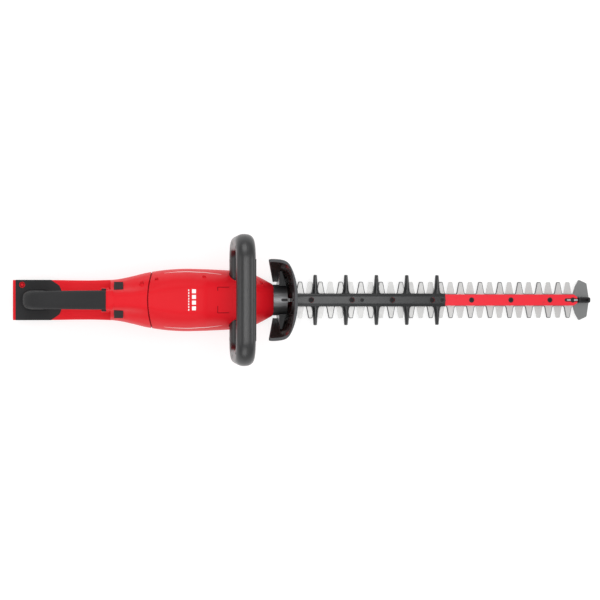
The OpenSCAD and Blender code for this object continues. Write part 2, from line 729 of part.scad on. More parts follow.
module drive_gear() {
    color("silver") difference() {
        union() {
            translate([0, 0, gear_z]) linear_extrude(gear_t)
                polygon(gear_points(gear_teeth, gear_r, 0.3, 0));
            bar_up(0, 0, gear_z, chamber_top - 0.5, journal_r + 4);
        }
        bar_up(0, 0, 0, big, journal_r + 0.02);
        for (a = [30:60:330]) rotate(a) bar_up((gear_r + journal_r) / 2, 0, 0, big, 4);
        for (z = [gear_z - 1, gear_z + gear_t - 2]) difference() {
            bar_up(0, 0, z, z + 3, gear_r - 5);
            bar_up(0, 0, z - 1, z + 4, journal_r + 4);
        }
    }
}
module pinion() {
    color("silver") difference() {
        translate([motor_x, 0, gear_z]) rotate(180 / pinion_teeth) linear_extrude(gear_t)
            polygon(gear_points(pinion_teeth, pinion_r, 0.3, 2.5));
        bar_up(motor_x, 0, 0, big, shaft_r + 0.02);
    }
}
module crank_shaft() {
    color("silver") {
        bar_up(0, 0, 2, chamber_top + crank_bearing_h, journal_r);
        bar_up(0, -throw, cam_low, cam_split, cam_r);
        bar_up(0, throw, cam_split, cam_high, cam_r);
        bar_up(0, 0, cam_high - 0.1, gear_z - 0.1, journal_r + 3);
    }
}

// ---------------------------------------------------------------- motor
module motor_bracket() {
    color("gray") difference() {
        union() {
            bar_up(motor_x, 0, roof_top, arm_top, bracket_r);
            bar_up(motor_x, 0, arm_top - 1, arm_top + 3, bearing_r + 2.5);
        }
        bar_up(motor_x, 0, roof_top + plate_t, arm_z, stator_d / 2 + 0.05);
        bar_up(motor_x, 0, 0, roof_top + plate_t + 1, bearing_r + slip);
        bar_up(motor_x, 0, 0, big, shaft_r + 1);
        bar_up(motor_x, 0, arm_z - 1, arm_z + bearing_h + 0.1, bearing_r + slip);
        bar_up(0, 0, 0, big, crank_bearing_r + 3.5);
        for (a = [0, 60, 120]) translate([motor_x, 0, 0]) rotate(a) {
            block([-big, -9, roof_top + plate_t + 1], [big, 9, core_z - 1]);
            block([-big, -9, core_top + 1], [big, 9, arm_z]);
            block([bracket_r - 18, -5, arm_z - 1], [bracket_r - 5, 5, big]);
            block([-bracket_r + 5, -5, arm_z - 1], [-bracket_r + 18, 5, big]);
        }
        bracket_holes(0, roof_top + 9);
    }
}
slots = 9;
module stator_core() {
    color("dimgray") translate([motor_x, 0, core_z]) linear_extrude(stator_h) {
        difference() {
            circle(d = stator_d);
            circle(r = stator_d / 2 - 4);
        }
        for (i = [0:slots - 1]) rotate(360 * i / slots) difference() {
            union() {
                translate([rotor_d / 2 + 0.6, -2]) square([stator_d / 2 - rotor_d / 2 - 3, 4]);
                intersection() {
                    difference() {
                        circle(r = rotor_d / 2 + 2.6);
                        circle(r = rotor_d / 2 + 0.6);
                    }
                    translate([0, -4]) square([stator_d, 8]);
                }
            }
            circle(r = rotor_d / 2 + 0.6);
        }
    }
}
module stator_windings() {
    yoke_in = stator_d / 2 - 4;
    reach = min(yoke_in - 0.4, sqrt(yoke_in^2 - 3.9^2) - 0.05);
    color("chocolate") for (i = [0:slots - 1]) translate([motor_x, 0, 0]) rotate(360 * i / slots)
        difference() {
            block([rotor_d / 2 + 3, -3.9, core_z - wind_h], [reach, 3.9, core_top + wind_h]);
            block([0, -2.1, core_z - 0.1], [big, 2.1, core_top + 0.1]);
        }
}
module rotor_core() {
    color("silver") difference() {
        bar_up(motor_x, 0, core_z - 1, core_top + 1, rotor_d / 2);
        bar_up(motor_x, 0, 0, big, shaft_r + 0.02);
        for (a = [0:60:300]) translate([motor_x, 0, 0]) rotate(a)
            block([rotor_d / 2 - 3.4, -5, core_z - 2], [rotor_d / 2 - 1.6, 5, core_z + 1]);
    }
}
module rotor_shaft() {
    color("silver") bar_up(motor_x, 0, gear_z - 1, arm_z + bearing_h, shaft_r);
}
module cooling_fan() {
    color("black") {
        difference() {
            bar_up(motor_x, 0, fan_z, fan_z + fan_h, 7);
            bar_up(motor_x, 0, 0, big, shaft_r + 0.02);
        }
        difference() {
            bar_up(motor_x, 0, fan_z, fan_z + 1.2, stator_d / 2 - 2);
            bar_up(motor_x, 0, 0, big, 6.5);
        }
        for (a = [0:30:330]) translate([motor_x, 0, 0]) rotate(a)
            block([6.8, -0.6, fan_z + 1], [stator_d / 2 - 2.5, 0.6, fan_z + fan_h]);
    }
}
module rotor_bearings() {
    color("silver") for (z = [roof_top - 3.5, arm_z]) difference() {
        bar_up(motor_x, 0, z, z + bearing_h, bearing_r);
        bar_up(motor_x, 0, 0, big, shaft_r + slip);
    }
}

// ---------------------------------------------------------------- blades and bar
// One tooth's outline, as [x, y, radius], on the edge that lies at +Y or -Y
function tooth_points(x, s) = [
    [x - tooth_root_w / 2 - 1, s * strip_w / 2, 0], [x - tooth_root_w / 2 + 0.6, s * (strip_w / 2 + 2), 0],
    [x - tooth_tip_w / 2, s * blade_span / 2, 2], [x + tooth_tip_w / 2, s * blade_span / 2, 2],
    [x + tooth_root_w / 2 - 0.6, s * (strip_w / 2 + 2), 0], [x + tooth_root_w / 2 + 1, s * strip_w / 2, 0]];
// Plan of one blade: side 1 puts the first tooth on the left edge, side -1 on the right edge
module blade_2d(side) {
    edge = strip_w / 2;
    polygon(rounded(concat(
        [[yoke_r - 1, -edge, 0]],
        [for (i = [0:tooth_count - 1])
            each tooth_points(first_tooth_x + (i + (side > 0 ? 0.5 : 0)) * tooth_pitch, -1)],
        [[blade_end, -edge, 0], [blade_end, edge, 0]],
        [for (i = [tooth_count - 1:-1:0])
            each reversed(tooth_points(first_tooth_x + (i + (side > 0 ? 0 : 0.5)) * tooth_pitch, 1))],
        [[yoke_r - 1, edge, 0]]), 3));
    slot_2d(0, yoke_run, 2 * yoke_r);
}
module blade(side, z) {
    translate([0, 0, z]) linear_extrude(blade_t) difference() {
        blade_2d(side);
        slot_2d(0, yoke_run, 2 * orbit_r);
        for (x = bolt_x) slot_2d(x, 2 * throw, slot_w);
        slot_2d(tip_screw_x + throw, 4 * throw, slot_w);
    }
}
module upper_blade() {
    color("lightgray") blade(1, upper_z);
}
module lower_blade() {
    color("silver") blade(-1, blade_z);
}
module blade_bar() {
    color("crimson") difference() {
        translate([0, 0, bar_z]) linear_extrude(bar_t) polygon([
            [bar_x0, -bar_root_w / 2], [bar_x0 + 12.8, -bar_root_w / 2], [bar_x0 + 12.8, -bar_w / 2],
            [bar_end - 6, -bar_w / 2], [bar_end, -bar_w / 2 + 4], [bar_end, bar_w / 2 - 4],
            [bar_end - 6, bar_w / 2], [bar_x0 + 12.8, bar_w / 2], [bar_x0 + 12.8, bar_root_w / 2],
            [bar_x0, bar_root_w / 2]]);
        for (x = stack_x) {
            bar_up(x, 0, 0, big, bolt_d / 2 + 0.05);
            bar_up(x, 0, bar_top - head_h - 0.4, big, head_r + 0.3);
        }
        for (x = rail_screw_x) bar_up(x, 0, 0, big, 1.6);
        for (y = [-bar_screw_y, bar_screw_y]) bar_up(bar_screw_x, y, 0, big, 2.4);
        translate([0, 0, bar_top - 1.6]) linear_extrude(big) slot_2d(tip_screw_x - 3, 14, 5.4);
    }
}
module bar_screws() {
    color("dimgray") for (y = [-bar_screw_y, bar_screw_y]) difference() {
        union() {
            bar_up(bar_screw_x, y, 4.2, 7, 3.8);
            bar_up(bar_screw_x, y, 6.9, bar_top + 3, 2.2);
        }
        bar_up(bar_screw_x, y, 0, 5.6, 1.7);
    }
}
module blade_bolts() {
    color("dimgray") for (x = stack_x) difference() {
        union() {
            bar_up(x, 0, spacer_z - washer_t - nut_h - 0.4, bar_top - head_h, bolt_d / 2 - 0.02);
            bar_up(x, 0, bar_top - head_h - 0.38, bar_top - 0.4, head_r);
        }
        translate([x, 0, bar_top - 1.8]) cylinder(r = 1.8, h = 3, $fn = 6);
    }
}
module blade_spacers() {
    color("silver") for (x = stack_x) difference() {
        bar_up(x, 0, spacer_z + 0.02, bar_z - 0.02, spacer_d / 2);
        bar_up(x, 0, 0, big, bolt_d / 2 + 0.02);
    }
}
module blade_washers() {
    color("silver") for (x = bolt_x) difference() {
        bar_up(x, 0, spacer_z - washer_t, spacer_z, 8);
        bar_up(x, 0, 0, big, bolt_d / 2 + 0.02);
    }
}
module blade_nuts() {
    color("dimgray") for (x = stack_x) difference() {
        translate([x, 0, spacer_z - nut_h - (x == tip_screw_x ? tip_plate_t : washer_t) - 0.02])
            cylinder(d = 9.2, h = nut_h, $fn = 6);
        bar_up(x, 0, 0, big, bolt_d / 2);
    }
}
module finger_2d() {
    b = rail_wall + bar_w / 2;
    t = finger_span / 2;
    polygon(rounded([
        [-9, b - 1.3, 0], [9, b - 1.3, 0], [5.6, b + 3, 4], [2.6, t, 2], [-2.6, t, 2], [-5.6, b + 3, 4]], 4));
}
module rail_guard() {
    half = bar_w / 2 + rail_wall;
    color("darkslategray") difference() {
        union() {
            block([rail_x0, -half, bar_z + 0.4], [rail_x1, half, bar_top + rail_top_t]);
            for (x = finger_x) mirrored()
                translate([x, 0, bar_z + 0.4]) linear_extrude(bar_t - 0.6) finger_2d();
            for (x = concat(rail_screw_x, bolt_x))
                if (x < rail_x1) bar_up(x, 0, bar_top + 0.1, bar_top + rail_top_t + 0.6, 5.6);
        }
        block([0, -bar_w / 2 - 0.05, 0], [big, bar_w / 2 + 0.05, bar_top + 0.05]);
        for (x = bolt_x) bar_up(x, 0, 0, big, head_r + 0.4);
        for (x = rail_screw_x) {
            bar_up(x, 0, 0, big, 1.6);
            bar_up(x, 0, bar_top + 1, big, 3);
        }
    }
}
module rail_guard_screws() {
    color("dimgray") for (x = rail_screw_x) difference() {
        union() {
            bar_up(x, 0, bar_top - 5.5, bar_top + 1.1, 1.5);
            bar_up(x, 0, bar_top + 1.05, bar_top + 2.4, 2.8);
        }
        bar_up(x, 0, bar_top + 1.8, big, 1.2);
    }
}

// ---------------------------------------------------------------- tip guard
plate_z = spacer_z - tip_plate_t;
bumper_w = 9;
module tip_plate() {
    w = tip_plate_w / 2;
    color("gray") difference() {
        translate([0, 0, plate_z]) linear_extrude(tip_plate_t) polygon(rounded([
            [tip_screw_x - 9, -8, 3], [bar_end - 4, -8, 0], [bar_end + 0.8, -w * 0.68, 2],
            [bar_end + 6.8, -w, 2], [tip_end - 3.8, -w * 0.82, 2], [tip_end, -3, 2],
            [tip_end, 3, 2], [tip_end - 3.8, w * 0.82, 2], [bar_end + 6.8, w, 2],
            [bar_end + 0.8, w * 0.68, 2], [bar_end - 4, 8, 0], [tip_screw_x - 9, 8, 3]], 4));
        bar_up(tip_screw_x, 0, 0, big, bolt_d / 2 + 0.05);
        bar_up(bar_end + 12, 0, 0, big, 1.7);
    }
}
module tip_bumper() {
    color("black") difference() {
        translate([0, 0, spacer_z + 0.02]) linear_extrude(bar_top - spacer_z) polygon(rounded([
            [bar_end + 3, -bumper_w / 2, 1], [tip_end - 1.5, -bumper_w / 2, 3],
            [tip_end - 1.5, bumper_w / 2, 3], [bar_end + 3, bumper_w / 2, 1]], 5));
        block([bar_end + 6, -2.2, bar_top - 5], [tip_end - 5, 2.2, big]);
        bar_up(bar_end + 12, 0, 0, spacer_z + 6, 1.7);
    }
    color("dimgray") bar_up(bar_end + 12, 0, plate_z - 1, spacer_z + 5.5, 1.65);
}

// ---------------------------------------------------------------- hand guard
panel_low = 7;
front_x = nose_x1 + 0.4;
panel_lean = 6.5;
panel_low_w = 32;
panel_back_low = 46;
panel_back_top = 28;
slice_t = 0.2;
frame_h = 2.4;
// How far forward the panel's outer face lies, a fraction of the way up
function panel_front(up) = front_x + guard_t + panel_lean * up;
// A slice of the panel in plan, a fraction of the way up and moved inwards by s; its open rear edge
// is carried back by a length
module panel_slice(up, z, s, back, h = slice_t) {
    w = mix(panel_low_w, guard_w / 2, up);
    x = panel_front(up);
    rear = mix(panel_back_low, panel_back_top, up) - back;
    cheek = x - mix(6, 15.5, up);
    bend = x - mix(2, 7, up);
    translate([0, 0, z]) linear_extrude(h) polygon(rounded([
        [rear, -w + s, 1.5], [cheek, -w + s, 5], [bend, -w * 0.77 + s, 8], [x - s, -w * 0.4, 10],
        [x - s, w * 0.4, 10], [bend, w * 0.77 - s, 8], [cheek, w - s, 5], [rear, w - s, 1.5]], 4));
}
module guard_panel() {
    color([0.2, 0.08, 0.08, 0.85]) difference() {
        hull() {
            panel_slice(0, panel_low, 0, 0);
            panel_slice(1, guard_top - slice_t, 0, 0);
        }
        hull() {
            panel_slice(0, panel_low - 1, guard_t, 40);
            panel_slice(1, guard_top + 1, guard_t, 40);
        }
        block([0, -bar_w / 2 - 1.2, 0], [big, bar_w / 2 + 1.2, bar_top + 3]);
        block([0, -nose_r - 0.3, 0], [front_x - 0.1, nose_r + 0.3, 60]);
        for (y = [-guard_screw_y, guard_screw_y]) for (z = guard_screw_z) bar_x(y, z, 0, big, 1.6);
    }
}
module guard_frame() {
    color("dimgray") difference() {
        panel_slice(1, guard_top + 0.1, -0.6, 0, frame_h);
        panel_slice(1, guard_top, guard_t + 1.6, 40, frame_h + 1);
    }
}
module guard_screws() {
    color("dimgray") for (y = [-guard_screw_y, guard_screw_y]) for (z = guard_screw_z) {
        seat = panel_front((z - panel_low) / (guard_top - panel_low)) + 0.35;
        bar_x(y, z, nose_x1 - guard_screw_in, seat + 0.1, 1.2);
        bar_x(y, z, seat, seat + 1.8, 3);
    }
}

// ---------------------------------------------------------------- bail handle
module bail_section_2d(s) {
    d = bail_d / 2 - s;
    h = bail_h / 2 - s;
    c = bail_corner - s;
    for (a = [-1, 1]) for (b = [-1, 1]) translate([a * (d - c), b * (h - c)]) circle(r = c);
    translate([-d + c, -h]) square([2 * (d - c), 2 * h]);
    translate([-d, -h + c]) square([2 * d, 2 * (h - c)]);
}
module bail_root(s) {
    translate([bail_x, bail_root_y - 1, bail_low]) rotate([-90, 0, 0]) linear_extrude(40) bail_section_2d(s);
}
// The front half of the tube's section, from its inner side round to its outer side: [forwards, outwards]
function bail_arc(s) = let (d = bail_d / 2 - s, h = bail_h / 2 - s, c = bail_corner - s)
    concat([[0, -h]], [for (t = [-90:22.5:0]) [d - c + c * cos(t), -h + c + c * sin(t)]],
        [for (t = [0:22.5:90]) [d - c + c * cos(t), h - c + c * sin(t)]], [[0, h]]);
// The loop's middle line on the left side, and the way it runs there: [y, z, angle]
function bend(y, z, r, from) = [for (t = [0:15:90]) [y + r * sin(from + t), z - r * cos(from + t), from + t]];
bail_line = concat([[bail_root_y, bail_low, 0]],
    bend(bail_side - bend_low, bail_low + bend_low, bend_low, 0),
    bend(bail_side - bend_top, bail_upper - bend_top, bend_top, 90));
bail_stops = concat(bail_line, [for (p = reversed(bail_line)) [-p[0], p[1], 360 - p[2]]]);
module bail_shell_skin(side) {
    outer = bail_arc(0);
    inner = bail_arc(bail_wall);
    ring = concat(side > 0 ? outer : reversed(outer), side > 0 ? reversed(inner) : inner);
    skin([for (p = bail_stops) [for (q = ring)
        [bail_x + side * q[0], p[0] + q[1] * sin(p[2]), p[1] - q[1] * cos(p[2])]]]);
}
bail_spots = [[60, bail_low], [bail_side, 130],
              [bail_side - bend_top * 0.29, bail_upper - bend_top * 0.29]];
module bail_half(side) {
    difference() {
        union() {
            bail_shell_skin(side);
            mirrored() for (p = bail_spots)
                bar_x(p[0], p[1], bail_x - (side > 0 ? 0 : bail_reach),
                    bail_x + (side > 0 ? bail_reach : 0), boss_r);
        }
        mirrored() for (p = bail_spots) bar_x(p[0], p[1], bail_x - 30, bail_x + 9, screw_r);
    }
}
module bail_front_shell() {
    color("dimgray") difference() {
        bail_half(1);
        block([bail_x + 6, -switch_half - fit, bail_upper - switch_h / 2 - fit],
              [big, switch_half + fit, bail_upper + switch_h / 2 + fit]);
    }
}
module bail_rear_shell() {
    color("dimgray") difference() {
        bail_half(-1);
        mirrored() for (p = bail_spots) bar_x(p[0], p[1], bail_x - 30, bail_x - 8, screw_head_r + 0.2);
    }
}
module bail_screws() {
    color("silver") mirrored() for (p = bail_spots) difference() {
        union() {
            bar_x(p[0], p[1], bail_x - 10, bail_x - 8, screw_head_r);
            bar_x(p[0], p[1], bail_x - 8.1, bail_x + 8, screw_r - 0.1);
        }
        bar_x(p[0], p[1], bail_x - 11, bail_x - 9, 1.3);
    }
}
module bail_switch_bar() {
    color("black") difference() {
        block([bail_x + 8, -switch_half, bail_upper - switch_h / 2],
              [bail_x + bail_d / 2 + 0.3, switch_half, bail_upper + switch_h / 2]);
        for (y = [-30, 30]) bar_x(y, bail_upper, bail_x - 5, bail_x + 12, screw_head_r + 2);
    }
}
module bail_switch() {
    color("black") block([bail_x - 9.6, -9, bail_upper - 5], [bail_x - 3, 9, bail_upper + 5]);
    color("dimgray") bar_x(0, bail_upper, bail_x - 3.1, bail_x + 1.5, 1.5);
}
module bail_springs() {
    color("silver") mirrored()
        translate([bail_x + 7.9, 48, bail_upper]) rotate([0, -90, 0]) coil(3, 0.5, 9, 4);
}

// ---------------------------------------------------------------- the pieces
rear_housing_left();
rear_housing_right();
grip_overmould();
foot_overmould();
battery_dock();
terminal_block();
battery_terminals();
battery_leads();
housing_screws();
trigger();
trigger_pin();
trigger_spring();
trigger_switch();
switch_leads();
lock_button_left();
lock_button_right();
lock_spring_left();
lock_spring_right();
motor_housing_left();
motor_housing_right();
control_board();
motor_leads();
gearcase();
gearcase_cover();
cover_screws();
crank_bearing();
crank_bush();
drive_gear();
crank_shaft();
stator_core();
stator_windings();
motor_bracket();
rotor_core();
rotor_shaft();
pinion();
cooling_fan();
rotor_bearings();
upper_blade();
lower_blade();
blade_bar();
bar_screws();
blade_bolts();
blade_spacers();
blade_washers();
blade_nuts();
rail_guard();
rail_guard_screws();
tip_plate();
tip_bumper();
guard_panel();
guard_frame();
guard_screws();
bail_front_shell();
bail_rear_shell();
bail_screws();
bail_switch_bar();
bail_switch();
bail_springs();
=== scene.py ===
"""Looks of a cordless hedge trimmer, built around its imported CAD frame.

Lengths are in metres, unless a name or a docstring says millimetres.
"""

import logging
import math
from collections.abc import Iterable, Sequence
from dataclasses import dataclass
from enum import Enum
from typing import Any

import bmesh
import bpy
from mathutils import Matrix, Vector


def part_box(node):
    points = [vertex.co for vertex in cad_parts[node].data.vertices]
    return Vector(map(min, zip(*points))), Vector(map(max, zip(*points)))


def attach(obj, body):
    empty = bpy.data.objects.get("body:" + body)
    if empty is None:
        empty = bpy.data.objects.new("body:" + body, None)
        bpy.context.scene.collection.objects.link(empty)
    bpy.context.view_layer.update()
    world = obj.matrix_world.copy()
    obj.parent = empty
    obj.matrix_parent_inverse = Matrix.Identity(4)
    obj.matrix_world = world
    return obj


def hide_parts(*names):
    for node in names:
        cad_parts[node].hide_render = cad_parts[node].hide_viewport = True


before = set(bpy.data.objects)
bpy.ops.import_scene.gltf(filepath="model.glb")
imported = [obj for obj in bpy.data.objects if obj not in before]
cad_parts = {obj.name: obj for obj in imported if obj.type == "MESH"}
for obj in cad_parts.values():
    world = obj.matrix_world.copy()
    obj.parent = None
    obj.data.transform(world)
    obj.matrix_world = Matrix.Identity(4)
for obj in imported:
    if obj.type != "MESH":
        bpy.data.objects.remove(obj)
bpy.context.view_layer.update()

LOG = logging.getLogger("hedge_trimmer")
MM = 0.001
ROOT = "frame"
TINY = 1e-6
SIDES = ((1, "left"), (-1, "right"))
Point = tuple[float, float, float]
Flat = tuple[float, float]
Color = tuple[float, float, float]


# ---------------------------------------------------------------- shader maths
class Value:
    """A number or colour that a material's node gives, with arithmetic that adds Math nodes."""

    def __init__(self, shader: "Shader", socket: bpy.types.NodeSocket) -> None:
        """Wraps one output socket of a material's node."""
        self.shader = shader
        self.socket = socket

    def _math(self, operation: str, other: Any) -> "Value":
        """Adds one Math node.

        Args:
            operation: Blender's name of the operation.
            other: The second value, a Value or a number.
        Returns:
            The node's result.
        """
        return self.shader.node("ShaderNodeMath", {"operation": operation}, {0: self, 1: other})

    def __add__(self, other: Any) -> "Value":
        """The sum."""
        return self._math("ADD", other)

    def __mul__(self, other: Any) -> "Value":
        """The product."""
        return self._math("MULTIPLY", other)

    def above(self, edge: float, soft: float) -> "Value":
        """A mask that rises from 0 to 1 as the value passes an edge.

        Args:
            edge: Where the mask is half way.
            soft: How wide the rise is.
        Returns:
            The mask.
        """
        return self.shader.node(
            "ShaderNodeMapRange",
            {"interpolation_type": "SMOOTHSTEP"},
            {"Value": self, "From Min": edge - soft / 2, "From Max": edge + soft / 2},
        )


class Shader:
    """The node tree of one material."""

    def __init__(self, name: str) -> None:
        """Starts a material with only a Principled shader and its output.

        Args:
            name: The material's name.
        """
        self.material = bpy.data.materials.new(name)
        self.material.use_nodes = True
        self.tree = self.material.node_tree
        self.tree.nodes.clear()
        self.output = self.tree.nodes.new("ShaderNodeOutputMaterial")
        self.surface = self.tree.nodes.new("ShaderNodeBsdfPrincipled")
        self.tree.links.new(self.surface.outputs[0], self.output.inputs["Surface"])
        self.place = self.node("ShaderNodeTexCoord", {}, {}, "Object")

    def node(self, kind: str, settings: dict[str, Any], values: dict[Any, Any], out: Any = 0) -> Value:
        """Adds a node.

        Args:
            kind: Blender's name of the node's type.
            settings: Its properties, which are set before its sockets.
            values: A value, or a Value to link, for each input socket by name or number.
            out: The name or number of the output to give back.
        Returns:
            That output.
        """
        made = self.tree.nodes.new(kind)
        for key, setting in settings.items():
            setattr(made, key, setting)
        for key, value in values.items():
            self._feed(made.inputs[key], value)
        return Value(self, made.outputs[out])

    def _feed(self, socket: bpy.types.NodeSocket, value: Any) -> None:
        """Links a Value into a socket, or sets the socket's constant.

        Args:
            socket: The socket.
            value: A Value, or the constant.
        """
        if isinstance(value, Value):
            self.tree.links.new(value.socket, socket)
        else:
            socket.default_value = value

    def set(self, name: str, value: Any) -> None:
        """Sets or links one input of the Principled shader."""
        self._feed(self.surface.inputs[name], value)

    def noise(self, scale: float, stretch: Point = (1, 1, 1), detail: float = 3, rough: float = 0.5) -> Value:
        """Noise in the object's own space.

        Args:
            scale: Noise cells per metre.
            stretch: How much finer the cells are along X, Y and Z.
            detail: Octaves.
            rough: The share of the fine octaves.
        Returns:
            The noise, about 0.5.
        """
        where = self.node("ShaderNodeMapping", {}, {"Vector": self.place, "Scale": stretch})
        return self.node(
            "ShaderNodeTexNoise", {}, {"Vector": where, "Scale": scale, "Detail": detail, "Roughness": rough}
        )

    def mix(self, share: Any, first: Any, second: Any) -> Value:
        """A colour between two colours.

        Args:
            share: How much of the second.
            first: A colour, or a Value that is one.
            second: A colour, or a Value that is one.
        Returns:
            The mixed colour.
        """
        sockets = {0: share, 6: _rgba(first), 7: _rgba(second)}
        return self.node("ShaderNodeMix", {"data_type": "RGBA"}, sockets, 2)

    def bump(self, height: Value, strength: float, distance: float) -> None:
        """Bumps the surface by a height.

        Args:
            height: The height, as noise.
            strength: How strongly it bumps.
            distance: How deep it is, in metres.
        """
        normal = self.node(
            "ShaderNodeBump", {}, {"Height": height, "Strength": strength, "Distance": distance}
        )
        self.set("Normal", normal)


def _rgba(color: Any) -> Any:
    """A colour with full alpha, or the Value as it is."""
    return color if isinstance(color, Value) else (*color, 1.0)


class Pattern(Enum):
    """How a finish's fine relief lies."""

    MOULDED = "moulded"
    SOFT = "soft"
    CAST = "cast"
    GROUND = "ground"
    TURNED = "turned"
    CLEAR = "clear"


@dataclass(frozen=True)
class Finish:
    """One finish of the trimmer, as a procedural material.

    The slot is the record's name for it, where that isn't its own name. Noise is in cells per metre.
    """

    name: str
    color: Color
    rough: float
    pattern: Pattern = Pattern.MOULDED
    metal: float = 0.0
    coat: float = 0.0
    worn: Color | None = None
    alpha: float = 1.0
    relief: float = 0.12
    spread: float = 0.10
    gloss: float = 0.25
    slot: str = ""
    shade_noise: float = 9.0
    scuff_noise: float = 60.0
    scuff_edge: float = 0.66
    scuff_soft: float = 0.12
    scuff_tint: float = 0.35
    scuff_rough: float = 0.08
    sheen_noise: float = 160.0
    sheen_range: float = 0.14
    coat_rough: float = 0.18

    def material(self) -> bpy.types.Material:
        """Builds the material, or finds it where it was built before.

        Returns:
            The material.
        """
        name = self.name + "_look"
        found = bpy.data.materials.get(name)
        if found:
            return found
        shader = Shader(name)
        shade = shader.noise(self.shade_noise, detail=2)
        dark = tuple(c * (1 - self.spread) for c in self.color)
        light = tuple(min(1.0, c * (1 + self.spread) + 0.004) for c in self.color)
        base = shader.mix(shade, dark, light)
        scuff = shader.noise(self.scuff_noise, detail=6, rough=0.65).above(self.scuff_edge, self.scuff_soft)
        if self.worn:
            base = shader.mix(scuff * self.scuff_tint, base, self.worn)
        sheen = shader.noise(self.sheen_noise, detail=4) * self.sheen_range
        shader.set("Base Color", base)
        shader.set("Metallic", self.metal)
        shader.set("Roughness", sheen + scuff * self.scuff_rough + (self.rough - self.sheen_range / 2))
        shader.set("Specular IOR Level", self.gloss)
        shader.set("Coat Weight", self.coat)
        shader.set("Coat Roughness", self.coat_rough)
        self._relief(shader)
        if self.alpha < 1:
            shader.set("Alpha", self.alpha)
        shader.material.diffuse_color = (*self.color, self.alpha)
        return shader.material

    def _relief(self, shader: Shader) -> None:
        """Adds the fine relief that the pattern names: its scale, stretch, detail and depth.

        Args:
            shader: The material's shader.
        """
        grains = {
            Pattern.MOULDED: (1100, (1, 1, 1), 3, 0.00010),
            Pattern.SOFT: (1700, (1, 1, 1), 2, 0.00025),
            Pattern.CAST: (700, (1, 1, 1), 5, 0.00030),
            Pattern.GROUND: (90, (0.35, 26, 26), 4, 0.00008),
            Pattern.TURNED: (60, (14, 14, 60), 3, 0.00005),
            Pattern.CLEAR: (30, (1, 1, 1), 1, 0.00005),
        }
        scale, stretch, detail, depth = grains[self.pattern]
        shader.bump(shader.noise(scale, stretch, detail), self.relief, depth)

    def dress(self, obj: bpy.types.Object) -> bpy.types.Object:
        """Gives an object this finish.

        Args:
            obj: The object.
        Returns:
            The same object.
        """
        obj.data.materials.clear()
        obj.data.materials.append(self.material())
        return self.mark(obj)

    def mark(self, obj: bpy.types.Object) -> bpy.types.Object:
        """Gives back the object as it is; it gives it no record slot."""
        return (obj, self.slot or self.name)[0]


RED_SHELL = Finish("red_shell", (0.69, 0.006, 0.014), 0.43, worn=(0.69, 0.014, 0.022), gloss=0.13)
# Dark red that paints shade: in the seam's gap, along the hood's outline and round the stud in the foot's
# well.
RED_PAINTED_SHADE = Finish("red_shadow_line", (0.22, 0.003, 0.007), 0.6, gloss=0.05, slot="red_shell")
RED_BAR = Finish(
    "red_bar_paint", (0.74, 0.014, 0.030), 0.34, Pattern.CAST,
    coat=0.1, worn=(0.4, 0.02, 0.03), slot="red_bar",
)
WHITE_MARK = Finish("white_mark", (0.86, 0.84, 0.84), 0.4, slot="red_shell")
SOFT_GRIP = Finish(
    "soft_grip", (0.027, 0.027, 0.028), 0.70, Pattern.SOFT,
    relief=0.5, worn=(0.04, 0.04, 0.04), gloss=0.10,
)
BLACK = Finish("black_plastic", (0.012, 0.012, 0.013), 0.45, relief=0.3, worn=(0.03, 0.03, 0.03))
BUTTON = Finish("button_grey", (0.036, 0.029, 0.030), 0.55, relief=0.3, worn=(0.05, 0.04, 0.04), gloss=0.12)
FRAME_GREY = Finish(
    "frame_grey", (0.060, 0.062, 0.066), 0.42, relief=0.3, worn=(0.1, 0.1, 0.1), slot="button_grey"
)
HANDLE = Finish(
    "handle_grey", (0.012, 0.012, 0.013), 0.30, Pattern.SOFT,
    relief=0.3, worn=(0.028, 0.028, 0.028), gloss=0.6,
)
SLATE = Finish("slate_plastic", (0.008, 0.009, 0.010), 0.22, relief=0.3, worn=(0.03, 0.03, 0.03), gloss=0.5)
SMOKE = Finish(
    "smoke_panel", (0.016, 0.006, 0.005), 0.14, Pattern.CLEAR,
    coat=0.4, alpha=0.95, worn=(0.05, 0.02, 0.02),
)
CAST = Finish(
    "cast_case", (0.17, 0.173, 0.177), 0.34, Pattern.CAST,
    metal=0.85, relief=0.5, worn=(0.25, 0.25, 0.26), slot="cast_grey",
)
BLADE = Finish(
    "blade_steel", (0.50, 0.498, 0.492), 0.44, Pattern.GROUND,
    metal=0.85, relief=0.6, worn=(0.48, 0.47, 0.46),
)
# The ground bevel and its glossier finish are real; its darker colour is painted shade on the tilted flanks.
GROUND_EDGE_SHADE = Finish(
    "blade_ground_edge_shaded", (0.21, 0.21, 0.215), 0.34, Pattern.GROUND,
    metal=0.9, relief=0.5, slot="blade_steel",
)
PLATE = Finish(
    "plate_steel", (0.20, 0.205, 0.205), 0.46, Pattern.CAST,
    metal=0.7, relief=0.4, worn=(0.33, 0.33, 0.33),
)
STEEL = Finish(
    "bright_steel", (0.6, 0.6, 0.61), 0.28, Pattern.TURNED,
    metal=1.0, relief=0.5, worn=(0.5, 0.5, 0.5),
)
SCREW = Finish(
    "dark_screw", (0.016, 0.015, 0.016), 0.5, Pattern.TURNED,
    metal=0.2, relief=0.4, worn=(0.05, 0.05, 0.05),
)
COPPER = Finish("copper", (0.55, 0.2, 0.08), 0.32, Pattern.GROUND, metal=0.9, coat=0.3, relief=0.8)
BRASS = Finish("brass_contact", (0.7, 0.5, 0.2), 0.3, Pattern.GROUND, metal=1.0, relief=0.4)
BRONZE = Finish("bronze", (0.42, 0.27, 0.12), 0.45, Pattern.CAST, metal=0.9, relief=0.4)
LAMINATION = Finish("lamination", (0.22, 0.22, 0.23), 0.45, Pattern.TURNED, metal=0.8, relief=0.8)
BOARD = Finish("board_green", (0.02, 0.12, 0.05), 0.4, relief=0.3)
WIRE_RED = Finish("wire_red", (0.45, 0.015, 0.015), 0.5, Pattern.SOFT, relief=0.2)
